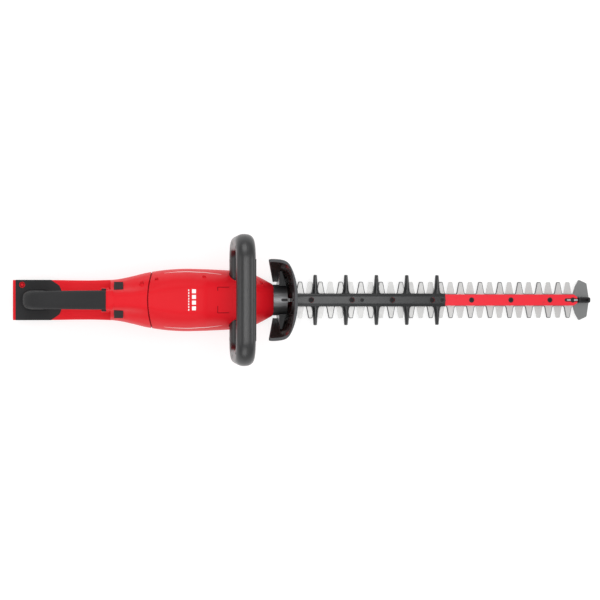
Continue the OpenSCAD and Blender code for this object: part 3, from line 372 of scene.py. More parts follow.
WIRE_BLACK = Finish("wire_black", (0.015, 0.015, 0.015), 0.5, Pattern.SOFT, relief=0.2)


# ---------------------------------------------------------------- mesh tools
def mm_points(points: Iterable[Sequence[float]]) -> list[tuple[float, ...]]:
    """Turns points in millimetres into metres."""
    return [tuple(v * MM for v in p) for p in points]


def evenly(start: float, end: float, steps: int) -> list[float]:
    """Gives evenly spaced values from start to end, with both."""
    return [start + (end - start) * i / steps for i in range(steps + 1)]


def read_off(line: Sequence[Flat], at: float, otherwise: float) -> float:
    """Reads a line of points as a graph.

    Args:
        line: Its points, of which the first piece that spans the place counts.
        at: The place.
        otherwise: What is given where no piece spans it.
    Returns:
        The line's value there.
    """
    for (x0, y0), (x1, y1) in zip(line, line[1:]):
        if x0 <= at <= x1:
            return y0 + (y1 - y0) * (at - x0) / max(x1 - x0, TINY)
    return otherwise


def add_object(name: str, data: Any) -> bpy.types.Object:
    """Puts a new object into the scene.

    Args:
        name: Its name.
        data: Its mesh, lamp or camera.
    Returns:
        The object.
    """
    obj = bpy.data.objects.new(name, data)
    bpy.context.scene.collection.objects.link(obj)
    return obj


def mesh_object(name: str, points: Sequence[Point], faces: Sequence[Sequence[int]]) -> bpy.types.Object:
    """Makes an object from points and faces.

    Args:
        name: The object's name.
        points: Its corners.
        faces: The corners of each face.
    Returns:
        The object, in the scene.
    """
    mesh = bpy.data.meshes.new(name)
    mesh.from_pydata([tuple(p) for p in points], [], [tuple(f) for f in faces])
    made = bmesh.new()
    made.from_mesh(mesh)
    bmesh.ops.recalc_face_normals(made, faces=made.faces)
    made.to_mesh(mesh)
    made.free()
    return add_object(name, mesh)


def skin(
    name: str, rings: Sequence[Sequence[Point]], closed: bool = True, caps: bool = True
) -> bpy.types.Object:
    """Makes a surface over rings of points.

    Args:
        name: The object's name.
        rings: Rings with the same number of points each.
        closed: Whether each ring runs round to its start.
        caps: Whether the first and last rings are filled.
    Returns:
        The object.
    """
    count = len(rings[0])
    faces: list[list[int]] = []
    for i in range(len(rings) - 1):
        for j in range(count if closed else count - 1):
            a, b = i * count + j, i * count + (j + 1) % count
            faces.append([a, b, b + count, a + count])
    if caps:
        faces.append(list(range(count))[::-1])
        faces.append([(len(rings) - 1) * count + j for j in range(count)])
    return mesh_object(name, [p for ring in rings for p in ring], faces)


def prism(name: str, outline: Sequence[Flat], low: float, high: float) -> bpy.types.Object:
    """Makes an upright prism.

    Args:
        name: The object's name.
        outline: Its plan.
        low: The height of its underside.
        high: The height of its top.
    Returns:
        The object.
    """
    return skin(name, [[(x, y, z) for x, y in outline] for z in (low, high)])


def block(name: str, low: Point, high: Point) -> bpy.types.Object:
    """Makes a box from its low corner and its high corner."""
    (x0, y0, z0), (x1, y1, z1) = low, high
    return prism(name, [(x0, y0), (x1, y0), (x1, y1), (x0, y1)], z0, z1)


def mm_block(name: str, a: Point, b: Point) -> bpy.types.Object:
    """Makes a box from any two opposite corners in millimetres.

    Args:
        name: The object's name.
        a: One corner.
        b: The other corner.
    Returns:
        The box.
    """
    low = tuple(min(p, q) * MM for p, q in zip(a, b))
    high = tuple(max(p, q) * MM for p, q in zip(a, b))
    return block(name, low, high)


def drum(name: str, start: Point, end: Point, radius: float, sides: int = 48) -> bpy.types.Object:
    """Makes a cylinder.

    Args:
        name: The object's name.
        start: The middle of one end.
        end: The middle of the other end.
        radius: Its radius.
        sides: How many sides it has.
    Returns:
        The object.
    """
    along = (Vector(end) - Vector(start)).normalized()
    across = along.orthogonal().normalized()
    other = along.cross(across)
    turns = [2 * math.pi * i / sides for i in range(sides)]
    spokes = [across * (radius * math.cos(t)) + other * (radius * math.sin(t)) for t in turns]
    return skin(name, [[tuple(Vector(p) + s) for s in spokes] for p in (start, end)])


def settle(obj: bpy.types.Object) -> bpy.types.Object:
    """Applies an object's modifiers, so that its mesh is final.

    Args:
        obj: The object.
    Returns:
        The same object.
    """
    view = bpy.context.evaluated_depsgraph_get()
    done = bpy.data.meshes.new_from_object(obj.evaluated_get(view))
    obj.modifiers.clear()
    obj.data = done
    return obj


def carve(
    obj: bpy.types.Object, tools: Iterable[bpy.types.Object], operation: str = "DIFFERENCE"
) -> bpy.types.Object:
    """Cuts tools out of an object, or joins them to it, and removes them.

    Args:
        obj: The object.
        tools: The objects to cut with.
        operation: Blender's name of the operation.
    Returns:
        The same object.
    """
    for tool in tools:
        change = obj.modifiers.new("carve", "BOOLEAN")
        change.operation = operation
        change.solver = "EXACT"
        change.object = tool
        settle(obj)
        bpy.data.objects.remove(tool)
    return obj


def ease(obj: bpy.types.Object, width: float, segments: int = 2, angle: float = 35.0) -> bpy.types.Object:
    """Rounds an object's sharp edges and shades the rest smooth.

    Args:
        obj: The object.
        width: The rounding's width.
        segments: How many facets the rounding has.
        angle: Edges sharper than this many degrees are rounded.
    Returns:
        The same object.
    """
    if width > 0:
        change = obj.modifiers.new("ease", "BEVEL")
        change.width = width
        change.segments = segments
        change.limit_method = "ANGLE"
        change.angle_limit = math.radians(angle)
        change.harden_normals = True
        change.use_clamp_overlap = True
    return smooth(obj, angle)


def smooth(obj: bpy.types.Object, angle: float = 35.0) -> bpy.types.Object:
    """Shades an object smooth, but for its sharp edges.

    Args:
        obj: The object.
        angle: Edges sharper than this many degrees stay sharp.
    Returns:
        The same object.
    """
    obj.data.polygons.foreach_set("use_smooth", [True] * len(obj.data.polygons))
    obj.data.set_sharp_from_angle(angle=math.radians(angle))
    return obj


def thicken(obj: bpy.types.Object, wall: float) -> bpy.types.Object:
    """Gives an open surface a wall on its inner side.

    Args:
        obj: The surface.
        wall: The wall's thickness.
    Returns:
        The same object.
    """
    change = obj.modifiers.new("wall", "SOLIDIFY")
    change.thickness = wall
    change.offset = -1
    change.use_even_offset = True
    return settle(obj)


def cut_corners(line: Sequence[Sequence[float]], passes: int) -> list[tuple[float, ...]]:
    """Rounds an open line by cutting its corners.

    Args:
        line: Its points.
        passes: How often each corner is cut.
    Returns:
        The rounded line, with the same ends.
    """
    points = [tuple(p) for p in line]
    for _ in range(passes):
        cut = [points[0]]
        last = len(points) - 2
        for i in range(last + 1):
            a, b = points[i], points[i + 1]
            if i > 0:
                cut.append(tuple(p * 0.75 + q * 0.25 for p, q in zip(a, b)))
            if i < last:
                cut.append(tuple(p * 0.25 + q * 0.75 for p, q in zip(a, b)))
        points = cut + [points[-1]]
    return points


def curve_through(line: Sequence[Sequence[float]], steps: int) -> list[tuple[float, ...]]:
    """Runs a smooth curve through points.

    Args:
        line: The points.
        steps: How many pieces the whole curve has.
    Returns:
        The curve's points.
    """
    count = len(line) - 1
    made = []
    for k in range(steps + 1):
        t = k / steps * count
        i = min(int(t), count - 1)
        s = t - i
        a, b, c, d = (line[max(i - 1, 0)], line[i], line[i + 1], line[min(i + 2, count)])
        made.append(tuple(
            q + (r - p) * s / 2 + (2 * p - 5 * q + 4 * r - e) * s * s / 2 + (3 * q - 3 * r + e - p) * s**3 / 2
            for p, q, r, e in zip(a, b, c, d)
        ))
    return made


def dress_nodes(finish: Finish, *nodes: str, width: float = 0.0003) -> None:
    """Finishes CAD nodes that keep their own shape.

    Args:
        finish: Their finish.
        nodes: Their names.
        width: How wide their edges are rounded.
    """
    for node in nodes:
        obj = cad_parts[node]
        ease(finish.dress(obj), width)
        LOG.info("dressed %s", node)


def place(obj: bpy.types.Object, finish: Finish, node: str | None = None) -> None:
    """Finishes a new piece and fixes it to the frame.

    Args:
        obj: The piece.
        finish: Its finish.
        node: The CAD node that it stands for, if any.
    """
    finish.dress(obj)
    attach(obj, ROOT)
    if node:
        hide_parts(node)
    LOG.info("built %s", obj.name)


# ---------------------------------------------------------------- the body's form
@dataclass
class BodyForm:
    """The clamshell body's outer form, as half sections at stations along X, all in millimetres.

    A station is x, then the half section's corners from top centre to bottom centre: the top and the
    flat's half width, the shoulder's half width and height, the widest half width and its height, and
    the bottom's half width and height.
    """

    stations: tuple[tuple[float, ...], ...] = (
        (-213, 121, 11, 16.5, 102, 31.5, 78, 30, 14),
        (-198, 122, 11.5, 17.5, 103, 33.5, 79, 32, 13),
        (-177, 123, 12.5, 22, 106, 38.5, 80, 36, 12),
        (-158, 124, 15.5, 29, 109, 43.5, 79, 40, 11),
        (-130, 124, 20, 35, 110, 48, 76, 44, 10),
        (-100, 123.5, 24, 38.5, 107, 50, 72, 46, 9),
        (-77, 123, 24, 38.5, 104.5, 49.6, 70.3, 46, 9),
        (-69, 121.4, 24, 38.5, 103.5, 49.4, 69.8, 46, 9),
        (-60, 118, 23, 37.5, 101, 49, 69, 46, 9),
        (-28, 108, 21, 34, 94, 47.4, 66, 45, 9),
        (0, 98, 18, 31, 85, 43.8, 62, 43, 9),
        (14, 90, 16, 27, 79, 39, 59, 38, 9),
        (28, 79, 14, 23, 71, 32, 55, 32, 9),
        (39, 69, 12, 20, 64, 26, 50, 26, 9),
    )
    wall: float = 2.6
    passes: int = 3
    seam: float = -158.0
    seam_r: float = 121.0
    seam_gap: float = 0.9
    boss_bore: float = 3.0
    boss_wall: float = 1.2
    mark_depth: float = 0.6
    valley_x: float = -170.0
    valley_y: float = 20.0
    valley_turn: float = 0.16
    valley_reach: float = 34.0
    valley_width: float = 9.0
    valley_depth: float = 3.6
    valley_floor: float = 90.0

    def row(self, x: float) -> list[float]:
        """Gives the half section's sizes at any x.

        Args:
            x: The place along the body.
        Returns:
            The sizes, smoothly between the stations.
        """
        rows = self.stations
        i = max(k for k in range(len(rows) - 1) if rows[k][0] <= x + TINY)
        span = rows[i + 1][0] - rows[i][0]
        t = (x - rows[i][0]) / span

        def slope(k: int, column: int) -> float:
            """How fast a column changes at a station."""
            low, high = max(k - 1, 0), min(k + 1, len(rows) - 1)
            return (rows[high][column] - rows[low][column]) / (rows[high][0] - rows[low][0])

        return [
            (2 * t**3 - 3 * t**2 + 1) * rows[i][c]
            + (t**3 - 2 * t**2 + t) * span * slope(i, c)
            + (3 * t**2 - 2 * t**3) * rows[i + 1][c]
            + (t**3 - t**2) * span * slope(i + 1, c)
            for c in range(9)
        ]

    def half(self, x: float, inset: float = 0.0) -> list[Flat]:
        """Gives the left half section at x, from bottom centre to top centre.

        Args:
            x: The place along the body.
            inset: How far the surface moves inwards.
        Returns:
            Points of [y, z].
        """
        _, top, flat, shoulder, shoulder_z, wide, wide_z, low, low_z = self.row(x)
        top, low_z = top - inset, low_z + inset
        corners = [
            (0.0, low_z), (low - inset, low_z), (wide - inset, wide_z),
            (shoulder - inset * 0.8, shoulder_z - inset * 0.5), (flat - inset * 0.4, top), (0.0, top),
        ]
        return [(y, z - self._valley(x, y, z)) for y, z in cut_corners(corners, self.passes)]

    def _valley(self, x: float, y: float, z: float) -> float:
        """Gives how deep the hollow beside the neck's ridge is at a point of the section.

        Args:
            x: The place along the body.
            y: The distance from the middle plane.
            z: The height.
        Returns:
            The depth, in millimetres.
        """
        along = 1 - ((x - self.valley_x) / self.valley_reach) ** 2
        middle = self.valley_y + (x - self.valley_x) * self.valley_turn
        across = 1 - ((y - middle) / self.valley_width) ** 2
        if z < self.valley_floor or along <= 0 or across <= 0:
            return 0.0
        return self.valley_depth * along**2 * across**2

    def rings(self, start: float, end: float, steps: int, inset: float = 0.0) -> list[list[Point]]:
        """Gives whole rings over a stretch of the body.

        Args:
            start: Where it starts.
            end: Where it ends.
            steps: How many pieces it has.
            inset: How far the surface moves inwards.
        Returns:
            The rings, in metres.
        """
        made = []
        for x in evenly(start, end, steps):
            half = self.half(x, inset)
            ring = half + [(-y, z) for y, z in half[-2:0:-1]]
            made.append(mm_points((x, y, z) for y, z in ring))
        return made

    def top_at(self, x: float, y: float) -> float:
        """Gives the height of the body's upper surface.

        Args:
            x: The place along the body.
            y: The distance from the middle plane.
        Returns:
            The height, in millimetres.
        """
        half = self.half(x)
        return read_off(half[::-1], abs(y), half[len(half) // 2][1])

    def side_at(self, x: float, z: float) -> float:
        """Gives the body's half width at a height.

        Args:
            x: The place along the body.
            z: The height.
        Returns:
            The half width, in millimetres.
        """
        return read_off([(height, y) for y, height in self.half(x)], z, 0.0)

    def _bosses(self, spots: Iterable[Flat]) -> tuple[list[bpy.types.Object], list[bpy.types.Object]]:
        """Makes the left shell's screw bosses and the bores through them.

        Args:
            spots: The bosses' places, as points of [x, z].
        Returns:
            The bosses and the bores.
        """
        inner, bore_inner, shortest, outside = 9.5, 10.0, 16.0, 60.0
        posts, bores = [], []
        for x, z in spots:
            if x > self.stations[0][0]:
                end = max(self.side_at(x, z) - self.boss_wall, shortest)
                ends = mm_points(((x, inner, z), (x, end, z)))
                posts.append(drum("boss", *ends, (self.boss_bore + self.boss_wall) * MM, 24))
            ends = mm_points(((x, bore_inner, z), (x, outside, z)))
            bores.append(drum("bore", *ends, self.boss_bore * MM, 24))
        return posts, bores

    def seam_drum(self, name: str, gap: float) -> bpy.types.Object:
        """Makes the upright drum whose side is the curved seam between the housings.

        Args:
            name: The drum's name.
            gap: How far its side lies behind the seam.
        Returns:
            The drum.
        """
        middle = (self.seam + self.seam_r) * MM
        return drum(name, (middle, 0, 0), (middle, 0, 0.2), (self.seam_r + gap) * MM, 160)

    def halves(self, whole: bpy.types.Object, housing: str, spots: Iterable[Flat]) -> None:
        """Splits a housing on the middle plane, gives its left half screw bosses and finishes both.

        Args:
            whole: The housing in one piece.
            housing: The start of its halves' node names.
            spots: The bosses' places, as points of [x, z].
        """
        right_mesh = whole.data.copy()
        carve(whole, [block("half", (-1, -1, -1), (1, 0, 1))])
        right = add_object(f"{housing}_right_skin", right_mesh)
        carve(right, [block("half", (-1, 0, -1), (1, 1, 1))])
        whole.name = f"{housing}_left_skin"
        posts, bores = self._bosses(spots)
        carve(whole, posts, "UNION")
        carve(whole, bores)
        for obj, side in ((whole, "left"), (right, "right")):
            place(ease(obj, 0.0005, 2, 50), RED_SHELL, f"{housing}_{side}")

    def patch(self, name: str, xs: Flat, ys: Flat, lift: float, steps: int = 10) -> bpy.types.Object:
        """Makes a thin pad that follows the body's upper surface.

        Args:
            name: The pad's name.
            xs: Where it starts and ends along the body.
            ys: Its two sides.
            lift: How far it stands out.
            steps: How many pieces it has each way.
        Returns:
            The pad.
        """
        rings = []
        row = evenly(*ys, steps)
        for x in evenly(*xs, steps):
            upper = [(x, y, self.top_at(x, y) + lift) for y in row]
            lower = [(x, y, self.top_at(x, y) - self.mark_depth) for y in reversed(row)]
            rings.append(mm_points(upper + lower))
        return skin(name, rings)

    def side_line(self, name: str, xs: Flat, share: Flat, width: float, lift: float) -> bpy.types.Object:
        """Makes a thin line along the body's side that tapers to its ends.

        Args:
            name: The line's name.
            xs: Where it starts and ends.
            share: How far round the section it runs at its start and at its end.
            width: Its width at the middle.
            lift: How far it stands out.
        Returns:
            The line.
        """
        steps, blunt, sunk = 30, 0.15, -0.3
        rings = []
        for t in evenly(0, 1, steps):
            x = xs[0] + (xs[1] - xs[0]) * t
            half = self.half(x)
            at = (share[0] + (share[1] - share[0]) * t) * (len(half) - 2)
            k = int(at)
            (y0, z0), (y1, z1) = half[k], half[k + 1]
            y, z = y0 + (y1 - y0) * (at - k), z0 + (z1 - z0) * (at - k)
            along = Vector((y1 - y0, z1 - z0)).normalized()
            out = Vector((along.y, -along.x))
            reach = width / 2 * (blunt + (1 - blunt) * math.sin(math.pi * t))
            corners = [(-reach, sunk), (reach, sunk), (reach, lift), (-reach, lift)]
            rings.append(mm_points(
                (x, y + along.x * a + out.x * b, z + along.y * a + out.y * b) for a, b in corners
            ))
        return skin(name, rings)


# ---------------------------------------------------------------- rear handle
@dataclass
class RearHandle:
    """Rear housing, grip, battery foot, trigger and lock-off buttons. Sizes in millimetres."""

    form: BodyForm
    neck: float = -213.0
    lap: float = 12.0
    rear: float = -362.0
    foot_half: float = 31.0
    foot_proud: float = 0.12
    foot_skin: float = 0.9
    grip_half: float = 14.5
    grip_waist: float = 0.9
    grip_heel: float = 1.6
    well: Flat = (-348.0, 23.5)
    well_floor: float = 38.8
    well_radius: float = 4.6
    finger_gap: float = 7.5

    def build(self) -> None:
        """Builds and dresses every piece of the rear handle."""
        self._housing()
        self._grip()
        self._foot()
        dress_nodes(BUTTON, "lock_button_left", "lock_button_right", width=0.0026)
        dress_nodes(RED_SHELL, "trigger", width=0.0016)
        dress_nodes(BLACK, "battery_dock", "terminal_block", "trigger_switch", width=0.0006)
        dress_nodes(BRASS, "battery_terminals", width=0.0001)
        dress_nodes(STEEL, "trigger_pin", "trigger_spring", width=0.0001)
        dress_nodes(STEEL, "lock_spring_left", "lock_spring_right", width=0.0001)
        dress_nodes(WIRE_RED, "battery_leads", width=0)
        dress_nodes(WIRE_BLACK, "switch_leads", width=0)
        dress_nodes(SCREW, "housing_screws", width=0.0002)

    def _lower_rings(self) -> list[list[Point]]:
        """The foot and the lower bar as rings of one loft, in metres."""
        stops = curve_through([
            (self.rear, 31, 14, 40, 4), (-330, 31, 14, 40, 4), (-300, 31, 14, 40, 4),
            (-286, 30.9, 14, 41, 5), (-270, 30.6, 14.5, 43, 6), (-245, 30.5, 15, 44, 7),
            (-225, 31, 14.6, 45, 8), (-208, 31.6, 14.2, 47, 9),
        ], 40)
        return [mm_points((x, y, z) for y, z in rounded_box(*sizes)) for x, *sizes in stops]

    def _well_drum(self, name: str, low: float, high: float, radius: float, sides: int) -> bpy.types.Object:
        """Makes an upright drum in the small well on the foot.

        Args:
            name: The drum's name.
            low: The height of its lower end.
            high: The height of its upper end.
            radius: Its radius.
            sides: How many sides it has.
        Returns:
            The drum.
        """
        return drum(name, *mm_points([(*self.well, low), (*self.well, high)]), radius * MM, sides)

    def _housing(self) -> None:
        """Both halves of the rear housing."""
        form, front = self.form, self.form.seam + self.lap
        whole = skin("rear_blank", form.rings(self.neck, front, 22))
        carve(whole, [skin("rear_lower", self._lower_rings())], "UNION")
        carve(whole, [prism_xz("rear_core", self._grip_side(5.0), 9.5)], "UNION")
        cuts = [
            skin("rear_hollow", form.rings(self.neck + form.wall, front + 1, 16, inset=form.wall)),
            form.seam_drum("rear_seam", form.seam_gap),
            self._well_drum("foot_well", self.well_floor, 60, self.well_radius, 40),
        ]
        cuts += [lock_well("lock_well", side) for side, _ in SIDES]
        carve(whole, cuts)
        form.halves(whole, "rear_housing", ((-350, 24), (-306, 22), (-239, 22), (-197, 22), (-166, 106)))
        # The tongue fills the seam's gap from behind; its dark red colour is painted shade in the gap.
        tongue = skin("seam_shade_tongue", form.rings(form.seam - 6, form.seam + 14, 12, inset=1.5))
        bore = skin("tongue_bore", form.rings(form.seam - 7, form.seam + 15, 12, inset=3.2))
        place(smooth(carve(tongue, [bore])), RED_PAINTED_SHADE)
        for side, name in SIDES:
            shoulder = mm_block(f"trigger_shoulder_{name}", (-228, side * 13.0, 92), (-214, side * 18.2, 107))
            place(ease(shoulder, 0.0025, 3), RED_SHELL)
            # The black block set into each shoulder is the notch's painted shade.
            low, high = (-226.5, side * 14.6, 100), (-219.5, side * 17.4, 107.3)
            place(ease(mm_block(f"trigger_notch_shade_{name}", low, high), 0.0006), BLACK)

    def _grip_side(self, inset: float) -> list[Flat]:
        """The grip's side view as an outline of [x, z], moved inwards.

        Args:
            inset: How far.
        Returns:
            The outline.
        """
        upper, lower = self._grip_curves(24)
        edge = []
        for (ux, uz), (lx, lz) in zip(upper, lower):
            span = Vector((lx - ux, lz - uz))
            step = span.normalized() * inset
            edge.append(((ux + step.x, uz + step.y), (lx - step.x, lz - step.y)))
        return [a for a, _ in edge] + [b for _, b in reversed(edge)]

    def _grip_curves(self, steps: int) -> tuple[list[Flat], list[Flat]]:
        """The grip's back-and-top curve and its front-and-under curve.

        Args:
            steps: How many pieces each has.
        Returns:
            Both curves, as points of [x, z].
        """
        upper = [
            (-345, 38), (-345, 70), (-342, 98), (-331, 115),
            (-312, 122.5), (-285, 124), (-250, 123), (-217.5, 121.3),
        ]
        lower = [
            (-304, 38), (-306, 60), (-305.5, 76), (-301, 85),
            (-292, 88), (-275, 88.3), (-250, 88), (-217.5, 88),
        ]
        return curve_through(upper, steps), curve_through(lower, steps)

    def _grip(self) -> None:
        """The soft sleeve around the grip and its post, and the red lip at its front."""
        upper, lower = self._grip_curves(56)
        rings = []
        sides, squareness, heel_end = 40, 0.62, 0.1
        for i, ((ux, uz), (lx, lz)) in enumerate(zip(upper, lower)):
            t = i / (len(upper) - 1)
            half = self.grip_half - self.grip_waist * math.sin(math.pi * t) ** 2
            if t < heel_end:
                half += self.grip_heel * (1 - t / heel_end)
            middle = Vector(((ux + lx) / 2, 0, (uz + lz) / 2))
            reach = Vector(((ux - lx) / 2, 0, (uz - lz) / 2))
            ring = []
            for k in range(sides):
                turn = 2 * math.pi * k / sides
                c, s = math.cos(turn), math.sin(turn)
                a, b = math.copysign(abs(c) ** squareness, c), math.copysign(abs(s) ** squareness, s)
                point = middle + reach * b + Vector((0, half * a, 0))
                ring.append(tuple(point * MM))
            rings.append(ring)
        sleeve = skin("grip_sleeve", rings)
        gap = self.finger_gap
        carve(sleeve, [mm_block("trigger_gap", (-283.5, -gap, 70), (-200, gap, 109))])
        place(ease(sleeve, 0.0008, 2, 60), SOFT_GRIP, "grip_overmould")
        lip = ((-220, 14.6, 0.2), (-218.6, 15.4, 0.5), (-214, 15.6, 0.4), (-209, 14.8, 0.0))
        collar = skin("grip_front_lip", [
            mm_points((x, y, z) for y, z in rounded_box(half, 88 - grow, 121.3 + grow, 9))
            for x, half, grow in lip
        ])
        carve(collar, [mm_block("trigger_gap", (-281.5, -gap, 70), (-200, gap, 98))])
        place(ease(collar, 0.0004, 2, 50), RED_SHELL)

    def _foot(self) -> None:
        """The soft skin over the battery foot, its skirt around the grip's post, and the small well."""
        low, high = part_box("foot_overmould")
        edge, long_cut, short_cut, step = self.foot_half + self.foot_proud, 16, 3, 9
        x0, x1 = low.x / MM, high.x / MM
        right = [(x0, -edge), (x1 - long_cut, -edge), (x1 - short_cut, -edge + step), (x1, -edge + long_cut)]
        outline = mm_points(right + [(x, -y) for x, y in reversed(right)])
        top = high.z + self.foot_skin * MM
        cover = prism("foot_skin", outline, low.z, top)
        core = block("foot_core", (low.x - 0.01, -0.0298, 0), (high.x + 0.01, 0.0298, high.z - 0.0015))
        carve(cover, [core, self._well_drum("foot_well", 30, 60, self.well_radius, 40)])
        place(ease(cover, 0.0007, 3, 40), SOFT_GRIP, "foot_overmould")
        post_x = -325.5
        skirt = [
            (18.6, 27.5, -0.4), (18.6, 27.5, 0.35), (17.9, 26.8, 0.75), (16.9, 25.8, 0.7), (15.6, 24.6, 0.2),
        ]
        bead = skin("post_skirt", [
            [(x, y, top + lift * MM) for x, y in stadium(post_x * MM, half * MM, run * MM, 24)]
            for half, run, lift in skirt
        ])
        place(smooth(bead, 60), SOFT_GRIP)
        # The dark red ring round the stud is painted shade in the well.
        for name, radius, height, finish in (("ring", 3.3, 0.3, RED_PAINTED_SHADE), ("stud", 2.2, 0.6, RED_SHELL)):
            disc = self._well_drum(f"foot_well_{name}", 38, self.well_floor + height, radius, 32)
            place(ease(disc, 0.0002), finish)


def rounded_box(half: float, low: float, high: float, corner: float, steps: int = 5) -> list[Flat]:
    """An upright rectangle with rounded corners, as points of [y, z].

    Args:
        half: Half its width.
        low: Its underside.
        high: Its top.
        corner: Its corners' radius.
        steps: Facets in each corner.
    Returns:
        The outline.
    """
    out, low, high = half - corner, low + corner, high - corner
    made = []
    for y, z, start in ((out, low, -90), (out, high, 0), (-out, high, 90), (-out, low, 180)):
        for k in range(steps + 1):
            turn = math.radians(start + 90 * k / steps)
            made.append((y + corner * math.cos(turn), z + corner * math.sin(turn)))
    return made


def stadium(x: float, half_width: float, half_length: float, steps: int = 16) -> list[Flat]:
    """A slot's outline with round ends, along X.

    Args:
        x: Its middle.
        half_width: Half its width.
        half_length: Half its length.
        steps: Facets in each end.
    Returns:
        The outline.
    """
    run = half_length - half_width
    made = []
    for side in (1, -1):
        for k in range(steps + 1):
            turn = math.radians(-90 + 180 * k / steps) + (0 if side > 0 else math.pi)
            made.append((x + side * max(run, 0) + half_width * math.cos(turn), half_width * math.sin(turn)))
    return made


def prism_xz(name: str, outline: Sequence[Flat], half: float) -> bpy.types.Object:
    """Makes a plate that stands in the XZ plane, from millimetres.

    Args:
        name: The object's name.
        outline: Points of [x, z].
        half: How far it reaches on each side of the middle plane.
    Returns:
        The object.
    """
    return skin(name, [mm_points((x, y, z) for x, z in outline) for y in (-half, half)])


def lock_well(name: str, side: int) -> bpy.types.Object:
    """Makes the well that a lock-off button sits in.

    Args:
        name: The object's name.
        side: 1 on the left, -1 on the right.
    Returns:
        The well.
    """
    lean = 38.0
    well = block(name, (-0.0071, -0.0088, -0.009), (0.0071, 0.0088, 0.016))
    turn = Matrix.Rotation(math.radians(-lean * side), 4, "X")
    well.data.transform(Matrix.Translation((-0.201, side * 0.0185, 0.098)) @ turn)
    return well


# ---------------------------------------------------------------- motor body
@dataclass
class MotorBody:
    """Front housing, its marks and the parts inside it. Sizes in millimetres."""

    form: BodyForm
    front: float = 39.0
    vents: int = 5
    vent_pitch: float = 8.0
    bail: Flat = (-17.0, 84.0)

    def build(self) -> None:
        """Builds and dresses the motor body."""
        self._housing()
        self._marks()
        dress_nodes(BOARD, "control_board", width=0.0002)
        dress_nodes(WIRE_BLACK, "motor_leads", width=0)
        dress_nodes(LAMINATION, "stator_core", "rotor_core", width=0.0002)
        dress_nodes(COPPER, "stator_windings", width=0.0012)
        dress_nodes(CAST, "motor_bracket", width=0.0006)
        dress_nodes(STEEL, "rotor_shaft", "pinion", "rotor_bearings", width=0.0002)
        dress_nodes(BLACK, "cooling_fan", width=0.0003)

    def _housing(self) -> None:
        """Both halves of the motor housing."""
        form = self.form
        whole = skin("motor_blank", form.rings(form.seam - 3, self.front, 76))
        hollow = skin("motor_hollow", form.rings(form.seam - 6, self.front, 40, inset=form.wall))
        hollow.data.transform(Matrix.Translation((0.0006, 0, 0)))
        keep = form.seam_drum("motor_seam", -form.seam_gap)
        carve(whole, [hollow])
        carve(whole, [keep], "INTERSECT")
        cuts = []
        for side, _ in SIDES:
            cuts.append(self._bail_root(side))
            for i in range(self.vents):
                x = self.vent_pitch * i - 98
                cuts.append(mm_block("vent", (x, side * 20, 18 + 2 * i), (x + 4, side * 60, 44 - i)))
        for x, radius in ((0, 0.0372), (0.0165, 0.029), (-0.026, 0.028)):
            cuts.append(drum("case_gap", (x, 0, -0.01), (x, 0, 0.024), radius, 64))
        cuts.append(block("case_gap", (0.02, -0.0235, -0.01), (0.06, 0.0235, 0.024)))
        carve(whole, cuts)
        form.halves(whole, "motor_housing", ((-144, 108), (-138, 22), (-76, 22), (-72, 106), (20, 74)))

    def _bail_root(self, side: int) -> bpy.types.Object:
        """Makes the opening that the bail handle's root goes through.

        Args:
            side: 1 on the left, -1 on the right.
        Returns:
            The opening.
        """
        (middle, height), half_depth, half_height, corner = self.bail, 14.9, 13.4, 12
        ring = rounded_box(half_depth, height - half_height, height + half_height, corner)
        return skin("bail_root", [mm_points((x + middle, y * side, z) for x, z in ring) for y in (30, 60)])

    def _marks(self) -> None:
        """The plain marks on the hood: bars and ticks and thin side lines; the dark red outline in front is
        painted shadow line.
        """
        for name, count, first, pitch, half, xs, steps in (
            ("mark", 4, 13.2, 8.6, 3.0, (-91.5, -85.5), 10),
            ("tick", 8, 14.6, 4.2, 1.3, (-97.2, -95.6), 3),
        ):
            for i in range(count):
                y = first - pitch * i
                pad = self.form.patch(f"hood_{name}_{i}", xs, (y - half, y + half), 0.12, steps)
                place(pad, WHITE_MARK)
        for side, name in SIDES:
            line = self.form.side_line(f"side_line_{name}", (-132, -44), (0.52, 0.57), 1.7, 0.15)
            if side < 0:
                line.data.transform(Matrix.Scale(-1, 4, (0, 1, 0)))
                line.data.flip_normals()
            place(line, WHITE_MARK)
        # The outline in front is dark red painted shadow line.
        outline = {
            "rear": ((-52.5, -51.4), (-19.0, -9.0)), "hook": ((-52.5, -51.4), (14.0, 19.5)),
            "left": ((-52.5, -34.0), (19.0, 20.0)), "right": ((-52.5, -34.0), (-20.0, -19.0)),
        }
        for name, (xs, ys) in outline.items():
            place(self.form.patch(f"hood_shadow_line_{name}", xs, ys, 0.1, steps=6), RED_PAINTED_SHADE)


# ---------------------------------------------------------------- gearcase and drive
@dataclass
class Gearcase:
    """The cast case, its cover, and the crank inside it."""

    def build(self) -> None:
        """Dresses the gearcase and the drive."""
        dress_nodes(CAST, "gearcase", "gearcase_cover", width=0.0007)
        dress_nodes(SCREW, "cover_screws", "bar_screws", width=0.0002)
        dress_nodes(STEEL, "crank_bearing", "drive_gear", "crank_shaft", width=0.0002)
        dress_nodes(BRONZE, "crank_bush", width=0.0002)


